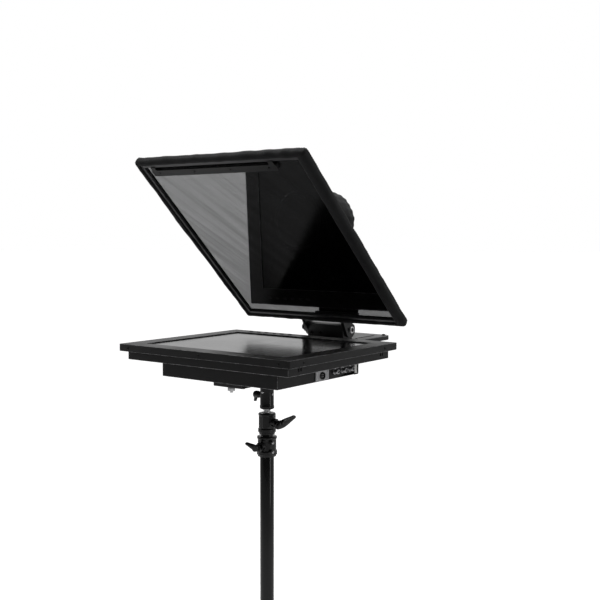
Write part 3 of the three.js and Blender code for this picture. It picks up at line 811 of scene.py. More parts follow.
def make_stitch_tree():
    """Short fat threads laid end to end along a path."""
    tree, inside, out = new_tree("stitches", [
        ("Pitch", "Float", 0.005), ("Material", "Material", None)])
    path = add_node(tree, "GeometryNodeMeshToCurve", [("Mesh", inside.outputs["Geometry"])])
    points = add_node(tree, "GeometryNodeCurveToPoints", [
        ("Curve", path.outputs["Curve"]), ("Length", inside.outputs["Pitch"])], mode="LENGTH")
    bead = add_node(tree, "GeometryNodeMeshIcoSphere", Radius=1.0, Subdivisions=1)
    turn = tree.nodes.new("FunctionNodeAlignRotationToVector")
    turn.axis = "Z"
    tree.links.new(points.outputs["Tangent"], turn.inputs["Vector"])
    on_points(tree, inside, out, points.outputs["Points"], bead.outputs["Mesh"],
              turn.outputs["Rotation"], (0.00042, 0.00042, 0.0017))
    return tree


def make_rib_tree():
    """Upright ribs in a ring about Z, for grips and knurls."""
    tree, inside, out = new_tree("grip_ribs", [
        ("Count", "Int", 24), ("Ring Radius", "Float", 0.01), ("Rib Radius", "Float", 0.0005),
        ("Rib Length", "Float", 0.008), ("Material", "Material", None)])
    ring = add_node(tree, "GeometryNodeCurvePrimitiveCircle", [("Radius", inside.outputs["Ring Radius"])])
    points = add_node(tree, "GeometryNodeCurveToPoints", [
        ("Curve", ring.outputs["Curve"]), ("Count", inside.outputs["Count"])], mode="COUNT")
    rib = add_node(tree, "GeometryNodeMeshCylinder", [
        ("Radius", inside.outputs["Rib Radius"]), ("Depth", inside.outputs["Rib Length"])], Vertices=8)
    on_points(tree, inside, out, points.outputs["Points"], rib.outputs["Mesh"])
    return tree


def make_slot_tree():
    """A grid of straight slots in the XY plane, deep along Z, used as a cutter."""
    tree, inside, out = new_tree("slot_grid", [
        ("Columns", "Int", 6), ("Rows", "Int", 1), ("Span X", "Float", 0.05), ("Span Y", "Float", 0.0),
        ("Slot Size", "Vector", (0.002, 0.02, 0.006)), ("Material", "Material", None)])
    grid = add_node(tree, "GeometryNodeMeshGrid", [
        ("Size X", inside.outputs["Span X"]), ("Size Y", inside.outputs["Span Y"]),
        ("Vertices X", inside.outputs["Columns"]), ("Vertices Y", inside.outputs["Rows"])])
    slot_shape = add_node(tree, "GeometryNodeMeshCube", [("Size", inside.outputs["Slot Size"])])
    on_points(tree, inside, out, grid.outputs["Mesh"], slot_shape.outputs["Mesh"])
    return tree


STITCHES, RIBS, SLOTS = make_stitch_tree(), make_rib_tree(), make_slot_tree()


def carve(piece, cutter):
    """Takes a cutter out of a piece."""
    saw = piece.modifiers.new("carve", "BOOLEAN")
    saw.operation, saw.solver, saw.object = "DIFFERENCE", "EXACT", cutter
    settle(piece)
    bpy.data.objects.remove(cutter)
    return piece


def slot_cutter(matrix, columns, rows, span, size):
    values = {"Columns": columns, "Rows": rows, "Span X": span[0], "Span Y": span[1],
              "Slot Size": size, "Material": plastic}
    cutter = grown("slot_cutter", bmesh.new(), SLOTS, **values)
    cutter.data.transform(matrix)
    return cutter


print("node trees:", [t.name for t in (SCREWS, STITCHES, RIBS, SLOTS)])

# %% [markdown]
# ## The monitor's housing
# The housing is folded and welded sheet metal in satin powder coat. A fold is never a knife edge:
# each outer corner gets a chamfer of about a millimetre, and that draws the light line along the
# bezel's rim, together with the pale grey painted on the chamfers, which is partly wear and partly
# a painted highlight. Holes are cut after the corners are softened, so that they stay crisp.

# %% Bezel, chassis tray and electronics box
bezel_low, bezel_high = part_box("monitor_bezel")
chassis_low, chassis_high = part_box("monitor_chassis")
box_low, box_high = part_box("electronics_box")
button_low, button_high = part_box("button_1")


def clear_of_buttons(edge):
    place = (edge.verts[0].co + edge.verts[1].co) / 2
    return not (button_low.y - 4 * MM < place.y < button_high.y + 4 * MM and edge.calc_length() < 30 * MM)


machined("monitor_bezel", "bezel_shell", 1.3 * MM, "housing", housing, where=clear_of_buttons)


def chassis():
    piece = new_object("chassis_tray", soften(bench_copy("monitor_chassis"), 1.1 * MM))
    slot_height = chassis_low.z + 10.6 * MM
    for side in (-1, 1):
        edge_x = chassis_low.x if side < 0 else chassis_high.x
        for y in (chassis_low.y + 32 * MM, chassis_high.y - 32 * MM):
            place = Matrix.Translation((edge_x, y, slot_height))
            carve(piece, slot_cutter(place, 2, 1, (0, 0), (8 * MM, 3.8 * MM, 6.4 * MM)))
            carve(piece, slot_cutter(Matrix.Translation((0, 7.5 * MM, 0)) @ place, 1, 1, (0, 0),
                                     (8 * MM, 3.8 * MM, 6.4 * MM)))
    fix(piece, "head", "housing", housing, "monitor_chassis")


def electronics():
    piece = new_object("electronics_cover",
                       soften(bench_copy("electronics_box"), 1.1 * MM, where=longer(24 * MM)))
    back = Matrix.Translation((-20 * MM, box_high.y, (box_low.z + box_high.z) / 2))
    upright = back @ Matrix.Rotation(math.radians(90), 4, "X")
    carve(piece, slot_cutter(upright, 22, 1, (190 * MM, 0), (2.4 * MM, 18 * MM, 8 * MM)))
    under = Matrix.Translation((-20 * MM, 96 * MM, box_low.z))
    carve(piece, slot_cutter(under, 16, 2, (150 * MM, 26 * MM), (2.4 * MM, 16 * MM, 8 * MM)))
    fix(piece, "head", "housing", housing, "electronics_box")


chassis()
electronics()
machined("lcd_panel", "screen_panel", 0.4 * MM, "screen", screen_glass)
for number in range(1, 7):
    machined(f"button_{number}", f"button_cap_{number}", 0.7 * MM, "button_plastic", plastic,
             segments=2, where=lambda e: min(v.co.z for v in e.verts) > button_high.z - 0.2 * MM)
print("housing", [round(v, 3) for v in (bezel_high - bezel_low)])

# %% Screws of the housing


def housing_screws():
    rim = bezel_high.z - 8 * MM
    front_back = [(x, y, way) for x in (-18 * MM, 183 * MM, -219 * MM)
                  for y, way in ((bezel_low.y, -1), (bezel_high.y, 1))]
    spots = [((x, y, rim), (0, way, 0)) for x, y, way in front_back]
    spots += [((x, y, rim), (way, 0, 0)) for x, way in ((bezel_low.x, -1), (bezel_high.x, 1))
              for y in (-150 * MM, 136 * MM)]
    screws("housing_rim_screws", "head", "housing", black_screw, 2.7 * MM, 0.9 * MM, spots)
    inset = 9 * MM
    corners = [((x, y, box_low.z), (0, 0, -1)) for x in (box_low.x + inset, box_high.x - inset)
               for y in (box_low.y + inset, 0, box_high.y - inset)]
    screws("cover_underside_screws", "head", "housing", black_screw, 2.8 * MM, 1.4 * MM, corners)


housing_screws()

# %% [markdown]
# ## Sockets, rocker and connector plate
# The side of the electronics box carries a round locking power socket on a nickel plate, three
# coaxial bayonet sockets and a rocker. Each is turned from its section, because the rings,
# threads and pins are what tells a real connector from a plain disc.

# %% Connectors
plate_low, plate_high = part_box("connector_plate")
socket_low, socket_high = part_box("power_socket")
EAST = Matrix.Rotation(math.radians(90), 4, "Y")


def facing_east(bm, place):
    bm.transform(Matrix.Translation(place) @ EAST)
    return bm


def power_socket():
    machined("connector_plate", "connector_plate_face", 0.5 * MM, "bright_plate", nickel,
             where=longer(12 * MM))
    centre = (socket_low + socket_high) / 2
    face = socket_high.x - plate_high.x
    shell = rounded([(6.0 * MM, -9 * MM), (8.0 * MM, -9 * MM), (8.0 * MM, face), (6.6 * MM, face),
                     (6.3 * MM, -4 * MM), (6.0 * MM, -4 * MM)], 0.4 * MM, True)
    insert = [(0, -8 * MM), (6.4 * MM, -8 * MM), (6.4 * MM, -3.6 * MM), (0, -3.6 * MM)]
    place = (plate_high.x, centre.y, centre.z)
    body = merged([turned(shell, 48, closed=True), turned(rounded(insert, 0.4 * MM), 40)])
    fix(new_object("power_socket_shell", facing_east(body, place)), "head", "socket_plastic",
        plastic, "power_socket")
    pins = merged([pipe((2.9 * MM * math.cos(a), 2.9 * MM * math.sin(a), -4 * MM),
                        (2.9 * MM * math.cos(a), 2.9 * MM * math.sin(a), 0.6 * MM), 0.8 * MM,
                        edge=0.5 * MM, steps=12)
                   for a in (math.radians(45 + 90 * i) for i in range(4))])
    fix(new_object("power_socket_pins", facing_east(pins, place)), "head", "bright_plate", steel)
    spots = [((plate_high.x, y, z), (1, 0, 0)) for y, z in (
        (plate_low.y + 4 * MM, plate_high.z - 4 * MM), (plate_high.y - 4 * MM, plate_low.z + 4 * MM),
        (plate_low.y + 4 * MM, plate_low.z + 4 * MM), (plate_high.y - 4 * MM, plate_high.z - 4 * MM))]
    screws("connector_plate_screws", "head", "bright_plate", steel, 1.7 * MM, 0.8 * MM, spots)


def video_sockets():
    wall = box_high.x
    barrel = rounded([(3.4 * MM, -7 * MM), (4.8 * MM, -7 * MM), (4.8 * MM, 11.5 * MM),
                      (4.1 * MM, 11.8 * MM), (3.4 * MM, 11.8 * MM)], 0.25 * MM, True)
    core = rounded([(0, -6 * MM), (3.2 * MM, -6 * MM), (3.2 * MM, 5 * MM), (1.5 * MM, 5 * MM),
                    (1.5 * MM, 8 * MM), (0, 8 * MM)], 0.2 * MM)
    for number in (1, 2, 3):
        low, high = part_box(f"video_socket_{number}")
        place = (wall, (low.y + high.y) / 2, (low.z + high.z) / 2)
        nut = turned(rounded([(4.9 * MM, 0.1 * MM), (7.2 * MM, 0.1 * MM), (7.2 * MM, 2.4 * MM),
                              (4.9 * MM, 2.4 * MM)], 0.2 * MM, True), 6, closed=True)
        lugs = pipe((0, -5.9 * MM, 8.6 * MM), (0, 5.9 * MM, 8.6 * MM), 0.95 * MM, steps=12)
        metal = merged([turned(barrel, 40, closed=True), nut, lugs])
        fix(new_object(f"video_socket_barrel_{number}", facing_east(metal, place)), "head",
            "bright_plate", nickel, f"video_socket_{number}")
        fix(new_object(f"video_socket_core_{number}", facing_east(turned(core, 24), place)), "head",
            "rocker", white_plastic)


power_socket()
video_sockets()

# %% Rocker and its rim


def rocker():
    machined("rocker_switch", "rocker_paddle", 0.8 * MM, "rocker", white_plastic, segments=2,
             where=lambda e: max(v.co.x for v in e.verts) > box_high.x - 2 * MM)
    low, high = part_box("rocker_switch")
    gap, rim = 0.9 * MM, 2.6 * MM
    loops = []
    for grow, x in ((gap, -2 * MM), (rim, -2 * MM), (rim, 0.6 * MM), (rim - 0.5 * MM, 1.0 * MM),
                    (gap + 0.3 * MM, 1.0 * MM), (gap, 0.6 * MM)):
        loops.append([(box_high.x + max(x, 0.15 * MM) if grow > gap + 1.2 * MM else box_high.x + x, y, z)
                      for y, z in ((low.y - grow, low.z - grow), (high.y + grow, low.z - grow),
                                   (high.y + grow, high.z + grow), (low.y - grow, high.z + grow))])
    rim_shape = skin(loops, closed=True)
    shade(rim_shape, 32)
    fix(new_object("rocker_rim", rim_shape), "head", "button_plastic", plastic)


rocker()
frame["nodes"]["controller_board"].data.materials.clear()
frame["nodes"]["controller_board"].data.materials.append(circuit_board)

# %% [markdown]
# ## Saddle, receiver and stand
# The stand is gloss black tube with cast clamps. Tubes are turned with eased ends. The clamps
# begin as the CAD part's own outline, gain ribs and bolt bosses, and are melted into one casting.

# %% T-handles


WING_LEAN = 0.35
# (place along the wing, its two edges), in wing lengths: a short arm, the hub and a long broad arm.
WING = ((-0.32, -0.09, 0.05), (-0.29, -0.135, 0.095), (-0.18, -0.18, 0.15), (-0.05, -0.20, 0.195),
        (0.08, -0.19, 0.205), (0.22, -0.155, 0.195), (0.36, -0.11, 0.175), (0.48, -0.07, 0.16),
        (0.57, -0.045, 0.15), (0.61, -0.02, 0.13), (0.625, 0.02, 0.09))
hinge_places = {joint["child"]: Vector(joint["pos_m"])
                for joint in frame["record"]["behaviour"]["joints"] if "pos_m" in joint}


def grip(stem, wing_length, wing_turn):
    """A T-handle on a screw that points along +X: shank, hub and a leaning wing."""
    rings, count = [], 16
    for at, low, high in WING:
        middle, half_width = (low + high) / 2 * wing_length * MM, (high - low) / 2 * wing_length * MM
        half_depth = (4.6 - 1.4 * abs(at)) * MM
        centre_x = (stem + 8 + WING_LEAN * at * wing_length) * MM
        rings.append([(centre_x + half_depth * math.cos(a), middle + half_width * math.sin(a),
                       at * wing_length * MM)
                      for a in (2 * math.pi * k / count for k in range(count))])
    wing = skin(rings)
    wing.transform(Matrix.Rotation(wing_turn, 4, "X"))
    hub = pipe((stem * MM, 0, 0), ((stem + 13) * MM, 0, 0), 7.2 * MM, steps=32)
    collar = pipe(((stem - 2.5) * MM, 0, 0), (stem * MM + MM, 0, 0), 5.8 * MM, steps=32)
    shank = pipe((0.4 * MM, 0, 0), ((stem + 1) * MM, 0, 0), 4.3 * MM, steps=24)
    return [wing, hub, collar, shank]


def placed_grip(node, name, heading, stem, wing_length, wing_turn):
    """Puts a T-handle where its CAD part is. heading is the turn about Z of its screw."""
    low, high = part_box(node)
    along = Vector((round(math.cos(heading)), round(math.sin(heading)), 0))
    axis = 0 if along.x else 1
    base = hinge_places[body_of[node]].copy()
    base[axis] = low[axis] if along[axis] > 0 else high[axis]
    shells = grip(stem, wing_length, wing_turn)
    for shell in shells:
        shell.transform(Matrix.Translation(base) @ Matrix.Rotation(heading, 4, "Z"))
    piece = cast(name, shells, 0.6 * MM, 3)
    return fix(piece, body_of[node], "cast_black", casting, node), base, along


placed_grip("upper_handle", "upper_grip", 0.0, 8, 50, math.radians(-60))
placed_grip("lower_handle", "lower_grip", -math.pi / 2, 4, 36, math.radians(70))
placed_grip("receiver_knob", "receiver_grip", math.pi, 5, 25, math.pi)
placed_grip("base_knob", "base_grip", math.pi / 2, 5, 40, 0.3)
_, lever_base, lever_way = placed_grip("tilt_lever", "tilt_grip", math.pi, 4, 32, 0.35)

# %% Saddle and receiver


def saddle_and_receiver():
    machined("mount_saddle", "saddle_plate", 0.9 * MM, "cast_black", casting)
    low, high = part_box("saddle_nut")
    middle = (low + high) / 2
    nut = rounded([(0, low.z), (8.5 * MM, low.z), (8.5 * MM, high.z), (0, high.z)], 0.8 * MM)
    nut_shape = turned(nut, 6)
    stud = pipe((0, 0, low.z - 4 * MM), (0, 0, low.z + MM), 3.2 * MM, steps=24)
    both = merged([nut_shape, stud])
    both.transform(Matrix.Translation((middle.x, middle.y, 0)))
    fix(new_object("saddle_nut_and_stud", both), "head", "bright_plate", steel, "saddle_nut")
    low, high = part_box("stud_receiver")
    radius, bore = high.x, 8.9 * MM
    top = high.z
    profile = rounded([
        (bore, low.z), (radius - 1.2 * MM, low.z), (radius, low.z + 1.4 * MM),
        (radius, low.z + 7 * MM), (radius - 0.7 * MM, low.z + 7.6 * MM),
        (radius - 0.7 * MM, top - 6 * MM), (radius, top - 5.4 * MM), (radius, top),
        (0.5 * bore, top), (0.5 * bore, top - 5 * MM), (bore, top - 5 * MM)], 0.5 * MM, True)
    fix(new_object("receiver_barrel", turned(profile, 72, closed=True)), "head", "gloss_tube",
        gloss_tube, "stud_receiver")
    dimple = ((0, -radius, (low.z + top) / 2 + 4 * MM), (0, -1, 0))
    screws("receiver_set_screws", "head", "bright_plate", steel, 2.6 * MM, 1.2 * MM, [
        dimple, ((radius, 0, (low.z + top) / 2), (1, 0, 0))])
    saddle_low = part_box("mount_saddle")[0]
    spots = [((x, y, saddle_low.z + 0.2 * MM), (0, 0, -1)) for x in (-98 * MM, -42 * MM)
             for y in (-28 * MM, 28 * MM)]
    screws("saddle_screws", "head", "bright_plate", black_screw, 4.2 * MM, 2.6 * MM, spots)


saddle_and_receiver()

# %% Tubes of the stand


def upright_tube(node, name, wall, finish, slot_name="gloss_tube"):
    low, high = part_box(node)
    radius = high.x
    piece = new_object(name, pipe((0, 0, low.z), (0, 0, high.z), radius, radius - wall, 0.7 * MM, 96))
    return fix(piece, body_of[node], slot_name, finish, node)


upright_tube("column", "column_tube", 2.2 * MM, gloss_tube)
upright_tube("riser_lower", "lower_riser_tube", 2.0 * MM, gloss_tube)
upright_tube("riser_upper", "upper_riser_tube", 2.0 * MM, gloss_tube)


def spigot():
    low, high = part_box("spigot")
    r, z = high.x, low.z
    neck = 5.4 * MM
    profile = rounded([(0, z), (r, z), (r, z + 3.2 * MM), (r - 1.4 * MM, z + 4 * MM),
                       (r - 1.4 * MM, z + neck), (r, z + 6.2 * MM), (r, z + 22 * MM),
                       (r - 2.2 * MM, z + 24 * MM), (r - 2.2 * MM, z + 33 * MM), (r, z + 35 * MM),
                       (r, high.z - 1.5 * MM), (r - 1.5 * MM, high.z), (0, high.z)], 0.4 * MM)
    fix(new_object("spigot_stud", turned(profile, 64)), "riser_upper", "bright_plate", steel, "spigot")


spigot()

# %% Cast collars


def collars():
    low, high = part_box("upper_collar")
    ribs = [pipe((17.2 * MM * math.cos(a), 17.2 * MM * math.sin(a), low.z + 14 * MM),
                 (17.2 * MM * math.cos(a), 17.2 * MM * math.sin(a), high.z - 3 * MM), 1.5 * MM, steps=12)
            for a in (math.radians(40 + 40 * i) for i in range(8))]
    band = pipe((0, 0, high.z - 5 * MM), (0, 0, high.z - 1 * MM), 18.6 * MM, 14 * MM, steps=64)
    piece = cast("upper_collar_casting", [bench_copy("upper_collar"), band, *ribs], 0.7 * MM, 4)
    fix(piece, "riser_lower", "cast_black", casting, "upper_collar")
    low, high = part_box("lower_collar")
    ear = [pipe((14 * MM, y, low.z + z), (23 * MM, y, low.z + z), 5 * MM, steps=24)
           for y, z in ((-9 * MM, 12 * MM), (-9 * MM, 32 * MM))]
    band = pipe((0, 0, high.z - 6 * MM), (0, 0, high.z - 1 * MM), 21.4 * MM, 16 * MM, steps=64)
    piece = cast("lower_collar_casting", [bench_copy("lower_collar"), band, *ear], 0.7 * MM, 4)
    fix(piece, "stand_column", "cast_black", casting, "lower_collar")
    screws("lower_collar_bolts", "stand_column", "bright_plate", steel, 3 * MM, 1.8 * MM,
           [((23 * MM, -9 * MM, low.z + z), (1, 0, 0)) for z in (12 * MM, 32 * MM)])
    for node, name in (("leg_collar", "leg_collar_casting"), ("base_hub", "base_hub_casting")):
        fix(cast(name, [bench_copy(node)], 0.9 * MM, 4), body_of[node], "cast_black", casting, node)


collars()

# %% Legs, struts and feet
LEG_AZIMUTHS = (-90, 30, 150)
leg_top = Vector((34 * MM, 0, 350 * MM))
leg_end = Vector((395 * MM, 0, 24 * MM))
strut_foot = Vector((24 * MM, 0, 130 * MM))
STRUT_JOIN = 250 * MM


def leg_set(number, azimuth):
    spread = Matrix.Rotation(math.radians(azimuth), 4, "Z")
    run = (leg_end - leg_top).normalized()
    start, end = leg_top - run * 5 * MM, leg_end
    leg = pipe(start, end, 9.5 * MM, 7.5 * MM, 0.8 * MM, 48)
    plug = pipe(start - run * 1.5 * MM, start + run * 4 * MM, 9.6 * MM, 0, 1.6 * MM, 48)
    whole = merged([leg, plug])
    whole.transform(spread)
    fix(new_object(f"leg_tube_{number}", whole), f"leg_{number}", "gloss_tube", gloss_tube,
        f"leg_{number}")
    boot = turned(rounded([(0, 0), (13.5 * MM, 0), (15.2 * MM, 3 * MM), (14.6 * MM, 6 * MM),
                           (15.2 * MM, 9 * MM), (14.4 * MM, 26 * MM), (12.4 * MM, 33.6 * MM),
                           (0, 34 * MM)], 1.4 * MM), 48)
    boot.transform(spread @ Matrix.Translation((leg_end.x, 0, 0)))
    fix(new_object(f"rubber_foot_{number}", boot), f"leg_{number}", "rubber", rubber, f"foot_{number}")
    machined(f"strut_{number}", f"strut_bar_{number}", 0.9 * MM, "cast_black", casting, segments=2)
    join = leg_top + run * STRUT_JOIN
    tangent = Vector((0, 1, 0))
    ends = [(strut_foot, 1), (join, 1), (strut_foot, -1), (join, -1)]
    spots = [(spread @ (spot + tangent * (16 if side > 0 else 12) * MM), spread @ (tangent * side))
             for spot, side in ends]
    screws(f"strut_rivets_{number}", f"strut_{number}", "bright_plate", steel, 4.2 * MM, 1.8 * MM, spots)


for index, azimuth in enumerate(LEG_AZIMUTHS):
    leg_set(index + 1, azimuth)
print("stand done")

# %% [markdown]
# ## Glass frame
# Four mitred rails hold the beam-splitter glass, which a clamp bar presses down. The rails get a
# fine chamfer only. The glass keeps its true thickness, because both of its faces reflect.

# %% Rails, glass and clamp bar
FRAME_TILT = math.radians(43.1)
FRAME_DEPTH = 13 * MM
rail_low, rail_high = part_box("frame_bottom_rail")
frame_foot = Vector((0, rail_high.y - FRAME_DEPTH * math.sin(FRAME_TILT), rail_low.z))
FRAME_WIDTH = rail_high.x - rail_low.x
top_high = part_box("frame_top_rail")[1]
FRAME_HEIGHT = (top_high.z - rail_low.z - FRAME_DEPTH * math.cos(FRAME_TILT)) / math.sin(FRAME_TILT)


def frame_point(across, up, behind):
    """A point given across the frame, up it and behind its front plane."""
    c, s = math.cos(FRAME_TILT), math.sin(FRAME_TILT)
    return Vector((across, frame_foot.y - up * c + behind * s, frame_foot.z + up * s + behind * c))


for side in ("bottom", "top", "left", "right"):
    machined(f"frame_{side}_rail", f"{side}_rail_bar", 0.6 * MM, "frame_black", anodised,
             where=longer(30 * MM))
machined("beamsplitter_glass", "splitter_pane", 0.35 * MM, "beamsplitter", splitter_glass)
machined("upper_glass_clamp", "upper_clamp_bar", 0.7 * MM, "frame_black", dark_bar,
         where=longer(9 * MM))


def clamp_screws():
    forward = frame_point(0, 0, -1) - frame_point(0, 0, 0)
    clamp_low, clamp_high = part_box("upper_glass_clamp")
    middle = (clamp_low.x + clamp_high.x) / 2
    spots = [(frame_point(middle + x * MM, FRAME_HEIGHT - 29.4 * MM, -2.0 * MM), forward)
             for x in (-145, -48, 48, 145)]
    screws("clamp_bar_screws", "glass_frame", "frame_black", black_screw, 2.6 * MM, 1.2 * MM, spots)


clamp_screws()
print("glass frame", round(FRAME_WIDTH, 4), "x", round(FRAME_HEIGHT, 4))

# %% [markdown]
# ## The hood
# The hood is sewn from four panels of nylon. Its front hem is drawn round the rails and turns in
# over their faces, and the panels run back to a ring round the lens. The cloth is one sheet, built
# from its hem to its neck, a little too large for its frame, so that the simulation lets it sag
# between the hem and the ring as real cloth does. The felled seams run from corner to neck.

# %% Hood outline
EDGE_STEPS, CORNER_STEPS = 46, 8
SIDE_STEPS = EDGE_STEPS + CORNER_STEPS
neck_low, neck_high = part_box("lens_sleeve")
NECK_RADIUS = 66.6 * MM
neck_centre = Vector((0, neck_low.y - 0.4 * MM, (neck_low.z + neck_high.z) / 2))


def around():
    """(side, place along the side from -1 to 1, or turn round the corner from 0 to 1)."""
    for side in range(4):
        for k in range(EDGE_STEPS):
            yield side, -1 + 2 * (k + 0.5) / EDGE_STEPS, None
        for k in range(CORNER_STEPS):
            yield side, None, (k + 0.5) / CORNER_STEPS


def compass(angle):
    return math.sin(angle), -math.cos(angle)


# Slack in the hem: (side, place, width, height in mm). Side 0 is the bottom edge, 1 the right one.
BUNCHES = ((2, -0.62, 0.05, 2.2), (2, -0.80, 0.05, 2.6), (2, -0.93, 0.03, 1.8), (2, -0.35, 0.10, 1.2),
           (2, 0.25, 0.04, 1.4), (2, 0.62, 0.05, 1.6), (3, -0.28, 0.16, 3.2), (3, 0.55, 0.10, 1.4),
           (3, 0.10, 0.05, 1.2), (1, 0.6, 0.14, 1.4), (1, -0.5, 0.2, 1.2), (1, 0.1, 0.05, 1.0),
           (0, 0.3, 0.1, 1.4), (0, -0.4, 0.04, 1.2))
LIP = (0.46, 1.05, 0.40, 0.46)  # how far each side's hem turns in over its rail, as a share


def bunching(side, along):
    """How far the slack cloth stands off the rail, in metres."""
    if along is None:
        return 0.0
    return sum(height * math.exp(-((along - at) / width) ** 2)
               for which, at, width, height in BUNCHES if which == side) * MM


def hem_ring(grow, behind, corner, slack=1.0):
    ring = []
    for side, along, turn in around():
        puff = bunching(side, along) * slack
        edges = [size / 2 + (grow * LIP[which] if grow < 0 else grow)
                 for which, size in enumerate((FRAME_HEIGHT, FRAME_WIDTH) * 2)]
        reach, before, after = edges[side] + puff, edges[side - 1], edges[(side + 1) % 4]
        nx, ny = compass(side * math.pi / 2)
        tx, ty = -ny, nx
        if turn is None:
            run = (after - corner) * (1 + along) / 2 - (before - corner) * (1 - along) / 2
            across, up = nx * reach + tx * run, ny * reach + ty * run
        else:
            ax, ay = compass((side + turn) * math.pi / 2)
            across = nx * (reach - corner) + tx * (after - corner) + ax * corner
            up = ny * (reach - corner) + ty * (after - corner) + ay * corner
        ring.append(frame_point(across, FRAME_HEIGHT / 2 + up, behind))
    return ring


def neck_ring(radius, y):
    ring = []
    for side, along, turn in around():
        degrees = along * 42 if turn is None else 42 + turn * 6
        u, v = compass(side * math.pi / 2 + math.radians(degrees))
        ring.append(Vector((u * radius, y, neck_centre.z + v * radius)))
    return ring


# %% Hood sheet
# Rows of the hem: outwards from the rail's edge, behind its face, corner radius, share of the slack.
HEM_ROWS = [(-16.0, -1.0, 2.0, 0.0), (-13.5, -1.9, 2.4, 0.0), (-9.0, -2.4, 3.0, 0.2),
            (-3.5, -2.6, 3.6, 0.6), (1.0, -1.4, 4.0, 1.0), (2.8, 1.6, 4.2, 1.0),
            (3.0, 5.0, 4.4, 1.0), (2.8, 9.0, 4.6, 0.8), (2.4, 13.0, 5.0, 0.4)]
PANEL_ROWS = 30


def hood_rows():
    rows = [hem_ring(grow * MM, behind * MM, corner * MM, slack)
            for grow, behind, corner, slack in HEM_ROWS]
    back, front_of_neck = rows[-1], neck_ring(NECK_RADIUS, neck_centre.y)
    for i in range(1, PANEL_ROWS + 1):
        t = i / PANEL_ROWS
        rows.append([a.lerp(b, t) for a, b in zip(back, front_of_neck)])
    return rows


def sheet_from_rows(name, rows):
    """A single sheet with a UV map in metres, closed round its columns."""
    bm = bmesh.new()
    uv = bm.loops.layers.uv.new("cloth")
    verts = [[bm.verts.new(p) for p in row] for row in rows]
    count = len(rows[0])
    down = [0.0]
    for one, two in zip(rows, rows[1:]):
        down.append(down[-1] + sum((a - b).length for a, b in zip(one, two)) / count)
    widest = max(rows, key=lambda row: sum((row[k] - row[k - 1]).length for k in range(count)))
    run = [0.0]
    for k in range(count):
        run.append(run[-1] + (widest[(k + 1) % count] - widest[k]).length)
    for i in range(len(rows) - 1):
        for k in range(count):
            j = (k + 1) % count
            face = bm.faces.new((verts[i][k], verts[i + 1][k], verts[i + 1][j], verts[i][j]))
            places = ((k, i), (k, i + 1), (k + 1, i + 1), (k + 1, i))
            for loop, (column, row) in zip(face.loops, places):
                loop[uv].uv = (run[column], down[row])
            face.smooth = True
    return new_object(name, bm), down[-1], run[-1]


hood, hood_length, hood_girth = sheet_from_rows("hood_cloth_sheet", hood_rows())

# %% Let the hood sag
SLACK = -0.010
SIM_FRAMES = 22
MOST_SAG = 11 * MM


def sag(piece, pinned_rows, columns, row_count):
    """Cloth simulation under gravity. The hem and the neck are held, and no point moves too far."""
    held = piece.vertex_groups.new(name="held")
    first, last = len(pinned_rows[0]), pinned_rows[1]
    held.add(list(range(0, first * columns)), 1.0, "REPLACE")
    held.add(list(range(last * columns, row_count * columns)), 1.0, "REPLACE")
    cloth = piece.modifiers.new("cloth", "CLOTH")
    cloth.settings.quality = 6
    cloth.settings.mass = 0.25
    cloth.settings.tension_stiffness = 25
    cloth.settings.compression_stiffness = 12
    cloth.settings.bending_stiffness = 0.35
    cloth.settings.shrink_min = SLACK
    cloth.settings.vertex_group_mass = "held"
    cloth.collision_settings.use_collision = False
    cloth.collision_settings.use_self_collision = False
    scene = bpy.context.scene
    start = np.array([v.co for v in piece.data.vertices])
    for number in range(1, SIM_FRAMES + 1):
        scene.frame_set(number)
    settle(piece)
    scene.frame_set(1)
    moved = np.array([v.co for v in piece.data.vertices]) - start
    length = np.linalg.norm(moved, axis=1)
    share = np.minimum(1.0, MOST_SAG / np.maximum(length, 1e-9))
    piece.data.vertices.foreach_set("co", (start + moved * share[:, None]).astype(np.float32).ravel())
    piece.data.update()
    print("cloth moved at most", round(float(length.max()) / MM, 1), "mm")


HOOD_COLUMNS = 4 * SIDE_STEPS
HOOD_ROWS = len(HEM_ROWS) + PANEL_ROWS
sag(hood, (range(len(HEM_ROWS) + 1), HOOD_ROWS - 2), HOOD_COLUMNS, HOOD_ROWS)

# %% Folds, seams and hem


def seam_columns():
    """The columns at the middle of each corner, where two panels are sewn together."""
    return [side * SIDE_STEPS + EDGE_STEPS + CORNER_STEPS // 2 for side in range(4)]


